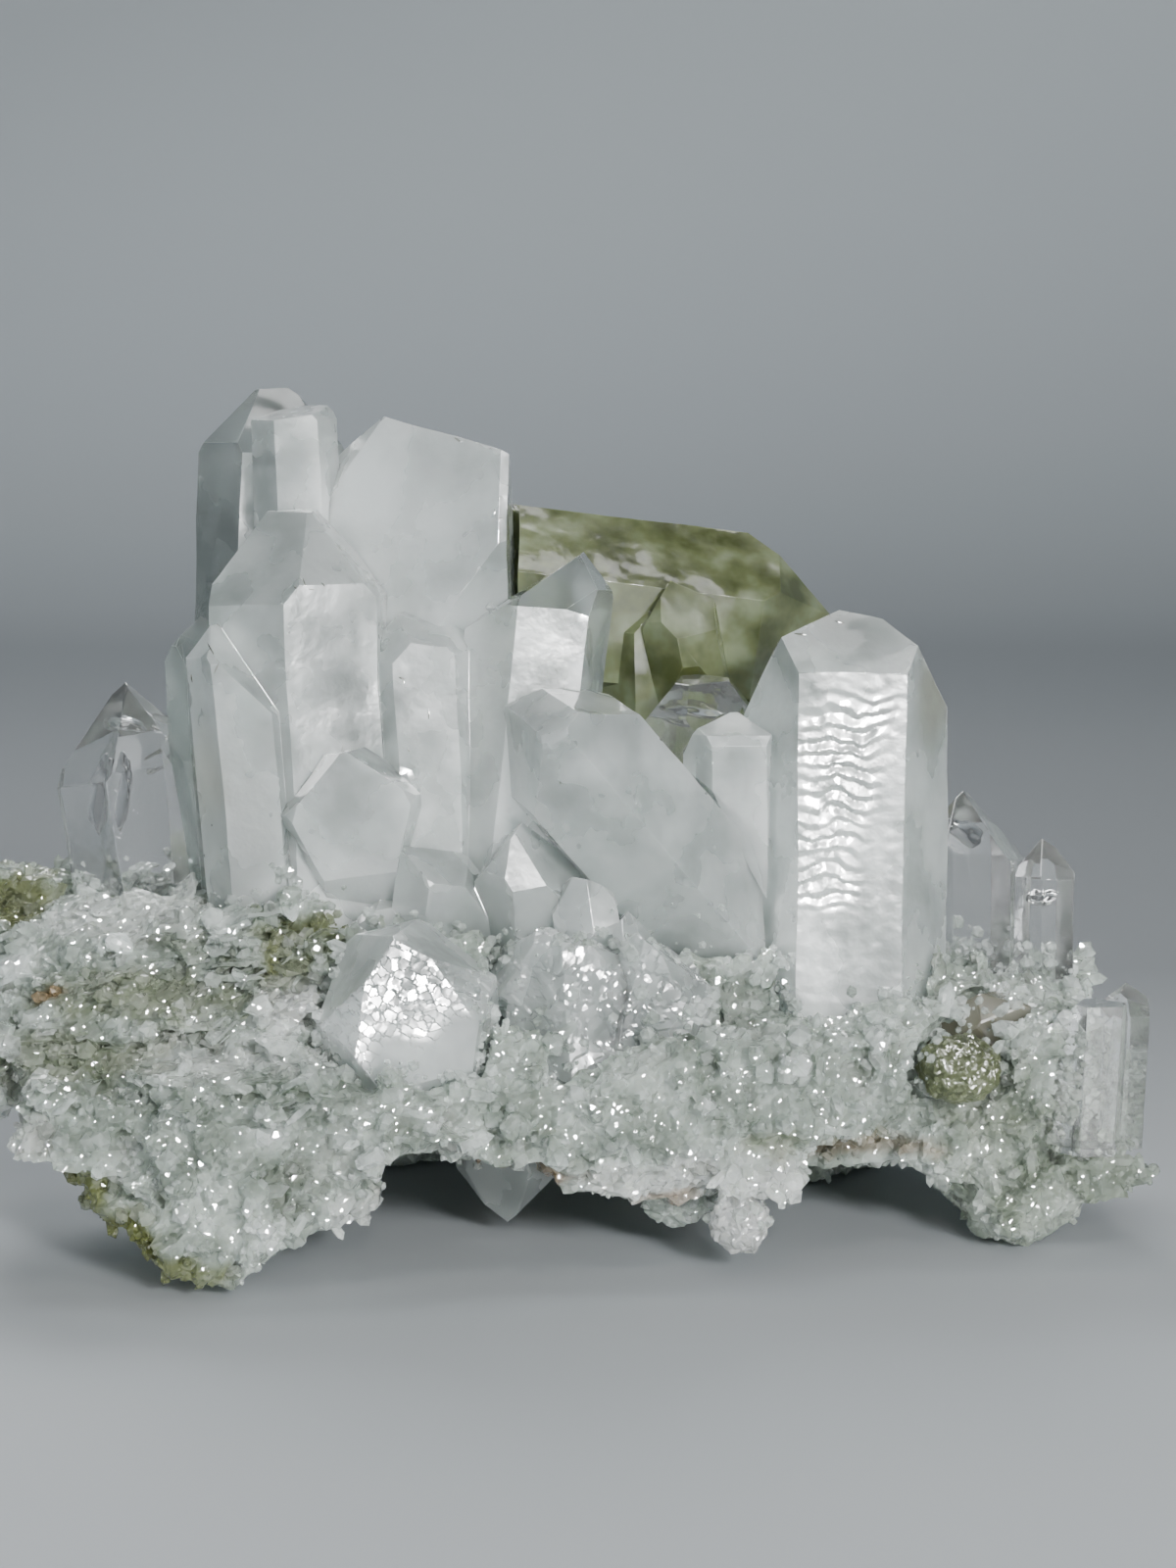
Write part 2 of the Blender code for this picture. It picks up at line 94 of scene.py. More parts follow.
# %% A helper that wires nodes
def node(tree, kind, **settings):
    """Adds a node; a setting that names an input sets it, any other is a property."""
    made = tree.nodes.new(kind)
    for key, value in settings.items():
        title = key.replace("_", " ").title()
        if title in made.inputs:
            made.inputs[title].default_value = value
        else:
            setattr(made, key, value)
    return made


def group_tree(name, inputs, outputs):
    tree = bpy.data.node_groups.new(name, "ShaderNodeTree")
    for title, kind, value in inputs:
        socket = tree.interface.new_socket(title, in_out="INPUT", socket_type=kind)
        if value is not None:
            socket.default_value = value
    for title, kind in outputs:
        tree.interface.new_socket(title, in_out="OUTPUT", socket_type=kind)
    return tree, tree.nodes.new("NodeGroupInput"), tree.nodes.new("NodeGroupOutput")


# %% The cloud group
cloud_tree, entry, leave = group_tree(
    "milky clouds",
    [
        ("Vector", "NodeSocketVector", None),
        ("Cloud Size", "NodeSocketFloat", 5 * MM),
        ("Grain Size", "NodeSocketFloat", 0.5 * MM),
    ],
    [("Cloud", "NodeSocketFloat"), ("Grain", "NodeSocketFloat")],
)
for title, detail in (("Cloud", 3.0), ("Grain", 2.0)):
    inverse = node(cloud_tree, "ShaderNodeMath", operation="DIVIDE")
    inverse.inputs[0].default_value = 1.0
    cloud_tree.links.new(entry.outputs[title + " Size"], inverse.inputs[1])
    texture = node(cloud_tree, "ShaderNodeTexNoise", detail=detail)
    cloud_tree.links.new(entry.outputs["Vector"], texture.inputs["Vector"])
    cloud_tree.links.new(inverse.outputs[0], texture.inputs["Scale"])
    cloud_tree.links.new(texture.outputs["Fac"], leave.inputs[title])
print("node group:", cloud_tree.name)

# %% [markdown]
# ## Tiny facets
# A sugary face is made of facets too small to model, each with its own slant, and that is
# why it glitters. This group gives every cell of a Voronoi pattern its own normal. The slant
# is small on a smooth face and large on a rough one.

# %% The facet group
def build_facet_tree():
    tree, given, made = group_tree(
        "tiny facets",
        [
            ("Vector", "NodeSocketVector", None),
            ("Facet Size", "NodeSocketFloat", 0.3 * MM),
            ("Slant", "NodeSocketFloat", 0.5),
        ],
        [("Normal", "NodeSocketVector")],
    )
    scale = node(tree, "ShaderNodeMath", operation="DIVIDE")
    scale.inputs[0].default_value = 1.0
    tree.links.new(given.outputs["Facet Size"], scale.inputs[1])
    cells = tree.nodes.new("ShaderNodeTexVoronoi")
    tree.links.new(given.outputs["Vector"], cells.inputs["Vector"])
    tree.links.new(scale.outputs[0], cells.inputs["Scale"])
    lean = node(tree, "ShaderNodeVectorMath", operation="SUBTRACT")
    lean.inputs[1].default_value = (0.5, 0.5, 0.5)
    tree.links.new(cells.outputs["Color"], lean.inputs[0])
    slant = node(tree, "ShaderNodeVectorMath", operation="SCALE")
    tree.links.new(lean.outputs[0], slant.inputs[0])
    tree.links.new(given.outputs["Slant"], slant.inputs["Scale"])
    surface = tree.nodes.new("ShaderNodeNewGeometry")
    total = node(tree, "ShaderNodeVectorMath", operation="ADD")
    tree.links.new(surface.outputs["Normal"], total.inputs[0])
    tree.links.new(slant.outputs[0], total.inputs[1])
    even = node(tree, "ShaderNodeVectorMath", operation="NORMALIZE")
    tree.links.new(total.outputs[0], even.inputs[0])
    tree.links.new(even.outputs[0], made.inputs["Normal"])
    return tree


facet_tree = build_facet_tree()


def tiny_facets(tree, place, size, slant):
    """Adds the facet group to a material and returns it."""
    made = tree.nodes.new("ShaderNodeGroup")
    made.node_tree = facet_tree
    made.inputs["Facet Size"].default_value = size
    made.inputs["Slant"].default_value = slant
    tree.links.new(place.outputs["Object"], made.inputs["Vector"])
    return made


# %% [markdown]
# ## Quartz materials
# Quartz is as clear as glass and bends light a little more (IOR 1.544). Milky quartz is full
# of tiny bubbles that scatter the light, so part of it is transmission and part subsurface
# scattering. The faces stay glossy: a thin, smooth coat lies over the rougher inside.

# %% Quartz
QUARTZ_IOR = 1.544


def ramp(tree, stops):
    made = tree.nodes.new("ShaderNodeValToRGB")
    points = made.color_ramp.elements
    while len(points) < len(stops):
        points.new(0.5)
    for point, (place, colour) in zip(points, stops):
        point.position = place
        point.color = (*colour, 1.0)
    return made


def add_tints(tree, colour, tints):
    """Mixes each painted tint over a colour, as strongly as its attribute says."""
    for tint, value in tints:
        amount = node(tree, "ShaderNodeAttribute", attribute_name=tint)
        mix = node(tree, "ShaderNodeMix", data_type="RGBA")
        mix.inputs[7].default_value = (*value, 1.0)
        tree.links.new(amount.outputs["Fac"], mix.inputs[0])
        tree.links.new(colour, mix.inputs[6])
        colour = mix.outputs[2]
    return colour


def quartz(name, stops, clear, tints=(), roughness=(0.1, 0.3), depth=1.6, bump=0.15, clouds=5 * MM):
    material = bpy.data.materials.new(name)
    material.use_nodes = True
    tree = material.node_tree
    shader = tree.nodes["Principled BSDF"]
    place = node(tree, "ShaderNodeTexCoord")
    cloud = tree.nodes.new("ShaderNodeGroup")
    cloud.node_tree = cloud_tree
    cloud.inputs["Cloud Size"].default_value = clouds
    tree.links.new(place.outputs["Object"], cloud.inputs["Vector"])
    colour = ramp(tree, stops)
    tree.links.new(cloud.outputs["Cloud"], colour.inputs["Fac"])
    painted = add_tints(tree, colour.outputs["Color"], tints)
    tree.links.new(painted, shader.inputs["Base Color"])
    dull = node(tree, "ShaderNodeMapRange")
    dull.inputs["From Min"].default_value = 0.35
    dull.inputs["From Max"].default_value = 0.65
    dull.inputs["To Min"].default_value = roughness[0]
    dull.inputs["To Max"].default_value = roughness[1]
    tree.links.new(cloud.outputs["Cloud"], dull.inputs["Value"])
    glitter = node(tree, "ShaderNodeAttribute", attribute_name="glitter")
    slant = node(tree, "ShaderNodeMath", operation="MULTIPLY")
    slant.inputs[1].default_value = 0.75
    tree.links.new(glitter.outputs["Fac"], slant.inputs[0])
    facets = tiny_facets(tree, place, 0.3 * MM, 0.0)
    tree.links.new(slant.outputs[0], facets.inputs["Slant"])
    shine = node(tree, "ShaderNodeMath", operation="MULTIPLY_ADD")
    shine.inputs[1].default_value = -0.2
    tree.links.new(glitter.outputs["Fac"], shine.inputs[0])
    tree.links.new(dull.outputs["Result"], shine.inputs[2])
    shine.use_clamp = True
    tree.links.new(shine.outputs[0], shader.inputs["Roughness"])
    height = node(tree, "ShaderNodeBump", strength=bump, distance=0.05 * MM)
    tree.links.new(cloud.outputs["Grain"], height.inputs["Height"])
    tree.links.new(facets.outputs["Normal"], height.inputs["Normal"])
    tree.links.new(height.outputs["Normal"], shader.inputs["Normal"])
    shader.inputs["Transmission Weight"].default_value = clear
    shader.inputs["IOR"].default_value = QUARTZ_IOR
    shader.inputs["Subsurface Weight"].default_value = 1.0
    shader.inputs["Subsurface Radius"].default_value = (1.0, 1.0, 1.0)
    shader.inputs["Subsurface Scale"].default_value = depth * MM
    shader.inputs["Coat Weight"].default_value = 0.6
    shader.inputs["Coat Roughness"].default_value = 0.03
    print("material:", name)
    return material


MILK = ((0.36, (0.36, 0.395, 0.385)), (0.5, (0.52, 0.565, 0.553)), (0.64, (0.72, 0.765, 0.755)))
# The crystals' tints: painted shade where a face lies in shadow or faces the dark room, whiter milk mixed with
# painted glow and highlights, and a real brown stain.
MILK_SHADE_GLOW_AND_STAIN = (("grey", (0.30, 0.33, 0.32)), ("bright", (0.90, 0.935, 0.93)), ("stain", (0.33, 0.32, 0.20)))
milky = quartz("milky quartz", MILK, 0.5, MILK_SHADE_GLOW_AND_STAIN, roughness=(0.2, 0.35), bump=0.4, clouds=3.5 * MM)
half_clear = quartz("half clear quartz", MILK, 0.85, MILK_SHADE_GLOW_AND_STAIN, roughness=(0.02, 0.12))
clear = quartz(
    "clear quartz", ((0.3, (0.90, 0.93, 0.93)), (0.7, (0.98, 0.99, 0.99))), 0.96, roughness=(0.0, 0.05)
)
OLIVES = ((0.36, (0.075, 0.09, 0.028)), (0.5, (0.14, 0.165, 0.07)), (0.68, (0.25, 0.29, 0.17)))
# The green crystal's pale tint is partly a painted highlight along its top edge.
green = quartz("chlorite quartz", OLIVES, 0.1, (("bright", (0.5, 0.55, 0.46)),), depth=0.5, bump=0.2,
               clouds=2.2 * MM, roughness=(0.14, 0.2))
tan = quartz("tan quartz", ((0.3, (0.16, 0.15, 0.10)), (0.7, (0.34, 0.33, 0.26))), 0.5)

# %% [markdown]
# ## Rock materials
# The plate is fine-grained quartz, glassy grey where it is fresh, olive where chlorite has
# grown, rusty in a few spots and white where it is fuzzy. Where those tints lie is painted
# on the mesh as attributes, so that the loose grains on top take the tint under them.

# %% Rock material
TINTS = (
    ("white", (0.86, 0.88, 0.86)),
    ("chlorite", (0.17, 0.19, 0.07)),
    ("rust", (0.30, 0.17, 0.06)),
    # Painted shade: the last tint darkens the rock's recesses.
    ("pit", (0.13, 0.14, 0.10)),
)


def tinted_rock(name, stops, clear, roughness, grain=0.35 * MM, bump=0.5, depth=0.25, slant=0.9,
                soft=0.5):
    material = bpy.data.materials.new(name)
    material.use_nodes = True
    tree = material.node_tree
    shader = tree.nodes["Principled BSDF"]
    place = node(tree, "ShaderNodeTexCoord")
    cloud = tree.nodes.new("ShaderNodeGroup")
    cloud.node_tree = cloud_tree
    cloud.inputs["Cloud Size"].default_value = 2.5 * MM
    tree.links.new(place.outputs["Object"], cloud.inputs["Vector"])
    base = ramp(tree, stops)
    tree.links.new(cloud.outputs["Cloud"], base.inputs["Fac"])
    tree.links.new(add_tints(tree, base.outputs["Color"], TINTS), shader.inputs["Base Color"])
    cells = node(tree, "ShaderNodeTexVoronoi", scale=1 / grain)
    tree.links.new(place.outputs["Object"], cells.inputs["Vector"])
    height = node(tree, "ShaderNodeBump", strength=bump, distance=0.1 * MM)
    tree.links.new(cells.outputs["Distance"], height.inputs["Height"])
    tree.links.new(tiny_facets(tree, place, 0.22 * MM, slant).outputs["Normal"], height.inputs["Normal"])
    tree.links.new(height.outputs["Normal"], shader.inputs["Normal"])
    shader.inputs["Roughness"].default_value = roughness
    shader.inputs["Transmission Weight"].default_value = clear
    shader.inputs["IOR"].default_value = QUARTZ_IOR
    shader.inputs["Subsurface Weight"].default_value = soft
    shader.inputs["Subsurface Radius"].default_value = (1.0, 1.0, 0.9)
    shader.inputs["Subsurface Scale"].default_value = depth * MM
    print("material:", name)
    return material


ROCK_GREYS = ((0.38, (0.32, 0.37, 0.32)), (0.5, (0.46, 0.52, 0.47)), (0.62, (0.64, 0.70, 0.65)))
GRAIN_GREYS = ((0.38, (0.44, 0.49, 0.45)), (0.5, (0.60, 0.65, 0.62)), (0.62, (0.80, 0.84, 0.82)))
rock = tinted_rock("sugary rock", ROCK_GREYS, 0.4, 0.04, bump=0.2)
sugar = tinted_rock("sugar grains", GRAIN_GREYS, 0.55, 0.02, bump=0.05, slant=0.7, soft=0.0)
olive = tinted_rock("olive nodule", ((0.3, (0.07, 0.085, 0.03)), (0.7, (0.16, 0.185, 0.10))), 0.1, 0.3)
frost = tinted_rock("frosted nodule", ((0.3, (0.5, 0.52, 0.5)), (0.7, (0.85, 0.86, 0.85))), 0.4, 0.2)

# %% [markdown]
# ## Where the tints lie
# Painted shade, whiter milk with painted glow, stains, chlorite and rust sit in patches. Each patch is a soft,
# ragged blob round a point, and a mesh carries its strength as a vertex attribute for the material to read.

# %% Soft steps
def ease(value):
    value = min(1.0, max(0.0, value))
    return value * value * (3 - 2 * value)


# %% Where the tints and the grains lie
# Each spot: its middle and its reach in millimetres, and how strong it is.
WORK = Vector((1.985, -0.434, 0.0))
SPOTS = {
    # Painted shade: faces in shadow, the hanging crystal under the plate and roofs that face the dark room
    # above.
    "grey": [
        ((-13.0, -2.0, 28.0), (4.0, 6.0, 5.4), 0.35),
        ((-15.0, -4.0, 19.0), (2.4, 6.0, 5.0), 1.0),
        ((-18.4, 6.0, 33.0), (2.4, 6.0, 7.0), 0.6),
        ((11.4, 2.0, 27.2), (4.2, 6.0, 1.9), 1.0),
        ((0.6, -8.0, 11.4), (6.0, 6.0, 3.6), 0.35),
        ((-4.0, -5.0, 16.4), (5.0, 4.0, 2.0), 0.4),
        ((-3.6, -3.0, 3.6), (4.0, 4.0, 4.4), 0.9),
        ((-9.0, -6.0, 13.6), (6.0, 5.0, 2.0), 0.6),
        ((-7.5, -2.0, 24.0), (2.0, 4.0, 5.0), 0.35),
        ((-0.6, -4.5, 23.4), (3.4, 4.0, 1.3), 0.9),
        ((1.7, -5.8, 17.4), (2.4, 3.0, 2.2), 0.4),
    ],
    # Whiter milk and painted glow: lit faces, bright rims and glowing feet, and a painted highlight along the
    # green crystal's top edge.
    "bright": [
        ((-9.4, 1.0, 33.0), (4.6, 9.0, 4.6), 0.6),
        ((-6.0, 1.0, 26.4), (4.0, 6.0, 4.0), 0.75),
        ((-10.6, -6.0, 16.2), (4.0, 4.0, 1.6), 0.8),
        ((11.0, -4.0, 12.0), (6.0, 6.0, 6.0), 0.3),
        ((7.4, -1.0, 19.0), (2.6, 3.0, 3.6), 0.7),
        ((-3.4, -4.4, 19.4), (1.4, 4.0, 4.0), 0.6),
        ((-9.2, -10.0, 11.6), (4.4, 6.0, 3.4), 0.5),
        ((14.0, 0.0, 22.0), (2.0, 6.0, 7.0), 0.3),
        ((0.4, 8.0, 33.4), (4.0, 9.0, 0.7), 0.6),
        ((4.6, 6.0, 27.6), (1.4, 3.0, 1.4), 0.3),
    ],
    "glitter": [
        ((-8.6, -9.0, 13.0), (3.6, 5.0, 2.0), 0.3),
        ((0.4, -8.0, 12.4), (3.6, 4.0, 2.6), 0.7),
        ((4.5, -6.0, 17.0), (0.5, 4.0, 0.5), 1.0),
        ((10.6, -8.0, 19.4), (1.3, 6.0, 4.4), 0.45),
        ((2.8, 2.0, 25.4), (0.6, 3.0, 1.2), 0.7),
        ((7.0, 2.0, 24.6), (2.0, 3.0, 0.8), 0.6),
        ((-8.0, -4.0, 21.4), (0.8, 4.0, 0.4), 0.7),
    ],
    "stain": [
        ((15.8, 0.0, 24.4), (1.2, 6.0, 2.4), 0.5),
        ((10.6, 3.0, 28.4), (2.6, 5.0, 0.9), 0.5),
        ((-17.0, -4.0, 21.4), (1.2, 4.0, 2.0), 0.4),
    ],
    "chlorite": [
        ((-26.6, 0.0, 15.0), (2.2, 4.0, 1.6), 0.9),
        ((-13.6, -4.0, 13.6), (3.6, 4.0, 1.8), 0.95),
        ((-19.0, -6.0, 12.0), (5.0, 5.0, 1.2), 0.55),
        ((-22.0, -6.0, 9.6), (6.0, 6.0, 1.4), 0.5),
        ((-22.0, -13.0, 4.2), (2.2, 6.0, 1.3), 1.0),
        ((-19.6, -13.0, 2.6), (2.0, 6.0, 1.2), 1.0),
        ((-17.4, -13.0, 1.2), (1.8, 6.0, 1.0), 0.9),
        ((8.0, -8.0, 6.6), (1.8, 3.0, 1.2), 0.5),
        ((17.6, -5.0, 6.6), (2.6, 3.0, 1.6), 0.35),
        ((20.0, -4.0, 5.0), (5.0, 6.0, 5.0), 0.22),
    ],
    "rust": [
        ((-23.2, -6.0, 11.8), (0.9, 2.0, 0.5), 0.9),
        ((-4.6, -9.0, 4.4), (3.6, 5.0, 0.7), 0.9),
        ((12.0, -6.0, 5.0), (3.4, 3.0, 0.8), 0.5),
        ((-24.0, -9.0, 4.6), (2.0, 3.0, 0.6), 0.6),
        ((3.6, -10.0, 3.2), (1.4, 2.0, 0.5), 0.6),
    ],
    "white": [
        ((-24.4, -10.0, 6.0), (3.2, 4.0, 1.8), 0.9),
        ((4.4, -10.0, 4.2), (6.0, 3.0, 1.3), 0.7),
        ((-12.6, -8.0, 11.6), (1.8, 3.0, 1.2), 0.9),
        ((-15.0, -9.0, 9.6), (5.0, 4.0, 1.0), 0.5),
        ((-9.0, -11.0, 3.0), (2.4, 3.0, 1.2), 0.6),
        ((-20.0, -4.0, 15.0), (4.0, 4.0, 1.0), 0.5),
    ],
}


def paint(corner, layers, soft=False):
    """Writes how much of each tint there is at a corner, with a ragged or a soft edge."""
    x, y, z = corner.co / MM - WORK
    ragged = noise.noise(Vector((x, y, z)) / 1.3) * 0.5 + noise.noise(Vector((x, y, z)) / 0.4) * 0.25
    fade = 0.7
    if soft:
        ragged = noise.noise(Vector((x, y, z)) / 3.0) * 0.3
        fade = 1.1
    for kind, layer in layers.items():
        best = 0.0
        for middle, reach, strength in SPOTS[kind]:
            away = ((x - middle[0]) / reach[0]) ** 2 + ((y - middle[1]) / reach[1]) ** 2
            away += ((z - middle[2]) / reach[2]) ** 2
            if away < 4.5:
                best = max(best, strength * ease((1.35 - away ** 0.5 + ragged) / fade))
        corner[layer] = best


# %% [markdown]
# ## Refining a crystal
# A CAD node comes as loose triangles. A copy of it is merged, its edges get a tiny bevel,
# because a real edge always catches a line of light, and its faces are cut finer so that
# they can carry growth relief. The relief is real geometry, a few hundredths of a millimetre.

# %% Crystal refining
def merged_copy(name, near=0.02 * MM):
    bm = bmesh.new()
    bm.from_mesh(frame["nodes"][name].data)
    bmesh.ops.remove_doubles(bm, verts=bm.verts[:], dist=near)
    bmesh.ops.dissolve_degenerate(bm, dist=near, edges=bm.edges[:])
    return bm


def add_piece(bm, name, material, node_name):
    mesh = bpy.data.meshes.new(name)
    bm.to_mesh(mesh)
    bm.free()
    mesh.materials.append(material)
    made = bpy.data.objects.new(name, mesh)
    bpy.context.scene.collection.objects.link(made)
    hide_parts(node_name)
    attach(made, "root")
    triangles = sum(len(face.vertices) - 2 for face in mesh.polygons)
    print(name, "triangles:", triangles)
    return made


def in_fixed_order(bm):
    """A bevel leaves its faces in another order on each run; this rebuilds the mesh in one."""
    corners = sorted(bm.verts, key=lambda corner: tuple(corner.co))
    number = {corner: index for index, corner in enumerate(corners)}
    outlines = []
    for face in bm.faces:
        ring = [number[corner] for corner in face.verts]
        first = ring.index(min(ring))
        outlines.append((ring[first:] + ring[:first], face.material_index))
    result = bmesh.new()
    made = [result.verts.new(corner.co) for corner in corners]
    for ring, finish in sorted(outlines):
        result.faces.new([made[index] for index in ring]).material_index = finish
    bm.free()
    return result


def cut_finer(bm, longest, fine=None):
    """Splits edges until none is longer than given; fine has a shorter length for the front."""
    for _ in range(11):
        long_edges = [
            edge for edge in bm.edges
            if edge.calc_length() > (fine if fine and faces_front(edge) else longest)
        ]
        if not long_edges:
            break
        bmesh.ops.subdivide_edges(bm, edges=long_edges, cuts=1, use_grid_fill=False)
        bmesh.ops.triangulate(bm, faces=[face for face in bm.faces if len(face.verts) > 4])
    bmesh.ops.triangulate(bm, faces=bm.faces[:])


def faces_front(edge):
    return all(face.normal.y < -0.95 for face in edge.link_faces)


# Painted shade and painted glow go on the crystals along with real stains and glitter.
CRYSTAL_TINTS = ("grey", "bright", "stain", "glitter")


SWELL = 0.12 * MM


def all_milky(point):
    return 0


def refine_crystal(name, material, relief=0.03 * MM, size=1.6 * MM, longest=0.7 * MM,
                   extra_relief=None, grade=all_milky, fine=None, wear=0.1 * MM):
    bm = merged_copy(name)
    bmesh.ops.dissolve_limit(bm, angle_limit=radians(1), verts=bm.verts[:], edges=bm.edges[:])
    for face in bm.faces:
        face.material_index = grade(face.calc_center_median() / MM - WORK)
    sharp = [edge for edge in bm.edges if edge.is_manifold and edge.calc_face_angle(0) > radians(8)]
    bmesh.ops.bevel(
        bm, geom=sharp, offset=0.06 * MM, segments=1, affect="EDGES", clamp_overlap=True
    )
    bm = in_fixed_order(bm)
    bmesh.ops.triangulate(bm, faces=bm.faces[:])
    bm.normal_update()
    cut_finer(bm, longest, fine)
    bm.normal_update()
    worn = {
        corner for edge in bm.edges
        if edge.is_manifold and edge.calc_face_angle(0) > radians(12) for corner in edge.verts
    }
    tints = {kind: bm.verts.layers.float.new(kind) for kind in CRYSTAL_TINTS}
    for corner in bm.verts:
        paint(corner, tints, soft=True)
        height = noise.noise(corner.co / size) + 0.4 * noise.noise(corner.co / size * 3.1)
        push = relief * (height - 0.6)
        if corner in worn:
            push -= wear * max(0.0, noise.noise(corner.co / (0.8 * MM)) + 0.15)
        swell = noise.noise_vector(corner.co / (5 * MM)) * SWELL
        if extra_relief:
            push += extra_relief(corner.co / MM - WORK, corner.normal)
        corner.co += corner.normal * push + swell
    for face in bm.faces:
        face.smooth = True
    made = add_piece(bm, name + "_grown", material, name)
    made.data.materials.append(half_clear)
    made.data.set_sharp_from_angle(angle=radians(14))
    return made


# %% [markdown]
# ## Two grades in one cluster
# The crystals of the main cluster are one solid, but some are glassier than others. Each
# face belongs to the crystal whose axis is nearest for its width, and the glassy ones get
# the clearer finish.

# %% Grades
# Foot, tip and width of each crystal, and 1 for a glassy one.
CLUSTER = (
    ((-7.8, 11.5, 18.6), (-7.8, 1.0, 36.8), 12.6, 0),
    ((-15.7, 5.9, 13.0), (-14.9, 7.5, 38.9), 6.2, 1),
    ((-13.2, 3.0, 20.0), (-13.6, 2.8, 38.9), 3.5, 0),
    ((-12.4, -1.0, 13.0), (-13.2, -0.6, 33.7), 7.6, 0),
    ((-14.5, -3.4, 12.0), (-15.5, -3.4, 26.8), 4.2, 0),
    ((-16.9, 0.2, 14.0), (-17.6, -0.4, 28.2), 3.2, 1),
    ((-10.6, 1.0, 14.6), (-10.6, -6.2, 21.4), 5.6, 0),
    ((-7.0, -1.6, 12.0), (-7.7, -1.2, 28.6), 4.7, 0),
    ((-3.6, -1.2, 14.0), (-1.9, -0.6, 31.4), 5.8, 1),
    ((9.0, 1.5, 10.2), (-3.1, -6.0, 25.3), 6.5, 0),
    ((-2.3, -2.0, 10.0), (-2.8, -5.2, 18.9), 4.2, 0),
    ((0.4, -3.0, 9.0), (-0.3, -6.4, 16.7), 2.9, 0),
    ((1.6, -3.6, 9.0), (1.8, -6.2, 15.0), 2.2, 0),
    ((-3.6, -1.5, 11.0), (-8.0, -5.2, 17.9), 3.8, 0),
    ((-8.0, 0.0, 11.0), (-9.6, -6.0, 14.8), 4.4, 0),
)


def cluster_grade(point):
    best, grade = 1e9, 0
    for foot, tip, width, glassy in CLUSTER:
        axis = Vector(tip) - Vector(foot)
        along = min(1.0, max(0.0, (point - Vector(foot)).dot(axis) / axis.length_squared))
        away = (point - Vector(foot) - axis * along).length / width
        if away < best:
            best, grade = away, glassy
    return grade


# %% [markdown]
# ## Growth steps on the large crystal
# Quartz grows its side faces in bands across the crystal. Each band here is a shallow tilt
# and a short step back, so the front face breaks a lamp's reflection into a ladder of
# dashes. The face also bulges a little, or the ladder would be as wide as the face.

# %% Growth steps
BAND = 0.62
STEP = 0.078 * MM
BULGE = 0.03


def growth_steps(point, normal):
    if abs(normal.z) > 0.45 or normal.y > -0.2:
        return 0.0
    front = ease((-normal.y - 0.8) / 0.15)
    wave = 0.4 * noise.noise(Vector((point.x / 1.3, 0.0, point.z / 2.0)))
    wave += 0.15 * noise.noise(Vector((point.x / 0.5, 3.0, point.z / 0.9)))
    phase = (point.z + wave) / BAND
    row = phase // 1
    rise = phase % 1.0
    tooth = rise / 0.65 if rise < 0.65 else (1 - rise) / 0.35
    strength = 0.35 + 0.65 * ease(noise.noise(Vector((point.x / 2.2, row * 1.7, 5.0))) * 1.5 + 0.5)
    middle = 10.0 + 0.225 * (point.z - 16.5)
    zone = ease(1.7 - abs(point.x - middle) / 1.5) * ease((25.2 - point.z) / 0.8) * ease((point.z - 15.0) / 1.0)
    strength *= 0.06 + 0.94 * zone
    fleck = zone * noise.noise(Vector((point.x / 0.4, row * 2.3, 9.0))) * 0.007 * MM
    bulge = BULGE * min(4.0, (point.x - middle) ** 2) / 2 * MM
    return front * (fleck - tooth * STEP * strength - bulge) - (1 - front) * 0.5 * tooth * STEP


# %% [markdown]
# ## Lumpy crystals
# The low grey crystals grew together with the crust, so their faces are broken into many
# small ones. A cell pattern gives each small face its own height and its own tilt.

# %% Small faces
def facet(point, size):
    """Height of a small face: each has its own level and its own tilt."""
    _, middles = noise.voronoi(point / size)
    level = noise.noise(middles[0] * 7.3)
    tilt = noise.noise_vector(middles[0] * 3.1)
    return level + 1.3 * tilt.dot(point / size - middles[0])


HILLOCK = 0.42


def lumpy(point, normal):
    return (facet(point, 1.5) * 0.22 + facet(point, 0.7) * 0.1) * MM


def hillocks(point, normal):
    """Tiny growth hillocks on the short front crystal. They all lean up, as roof tiles do."""
    if normal.y > -0.4:
        return 0.0
    upper = ease((point.z - 0.35 * (point.x + 8.0) - 10.2 + noise.noise(point / 1.5)) / 1.2)
    if upper <= 0.0:
        return 0.0
    _, middles = noise.voronoi(point / HILLOCK)
    away = point / HILLOCK - middles[0]
    slope = Vector((-0.1, 0.0, -0.36)) + 0.16 * noise.noise_vector(middles[0] * 3.1)
    return upper * slope.dot(away) * HILLOCK * MM


# %% Refine the crystals
refine_crystal("main_cluster", milky, grade=cluster_grade, longest=0.5 * MM)
refine_crystal("right_crystal", milky, extra_relief=growth_steps, fine=0.12 * MM)
for name in ("small_middle_crystal", "hanging_crystal"):
    refine_crystal(name, milky, longest=0.4 * MM)
refine_crystal("front_crystal", milky, extra_relief=hillocks, longest=0.13 * MM)
refine_crystal("mound_crystal", milky, extra_relief=lumpy, longest=0.22 * MM)
for name in ("left_clear_crystal", "right_clear_crystals", "edge_crystal", "small_clear_crystal"):
    refine_crystal(name, clear, relief=0.02 * MM)
refine_crystal("green_crystal", green, longest=0.4 * MM)
for name, material, slot in (("green_nodule", olive, "chlorite_quartz"),
                             ("white_nodule", frost, "white_nodule")):
    refine_crystal(name, material, relief=0.17 * MM, size=0.45 * MM, longest=0.2 * MM)
refine_crystal("tan_crystal", tan)

# %% [markdown]
# ## Healed cracks
# Inside the clear crystals lie thin films of air, left where a crack healed. Light that
# comes from the quartz meets air there, so the film's IOR is the quartz's turned upside
# down: seen at a slant, such a film is a mirror.

# %% Healed cracks
film = bpy.data.materials.new("air film")
film.use_nodes = True
air = film.node_tree.nodes["Principled BSDF"]
air.inputs["Transmission Weight"].default_value = 1.0
air.inputs["Roughness"].default_value = 0.0
air.inputs["IOR"].default_value = 1 / QUARTZ_IOR

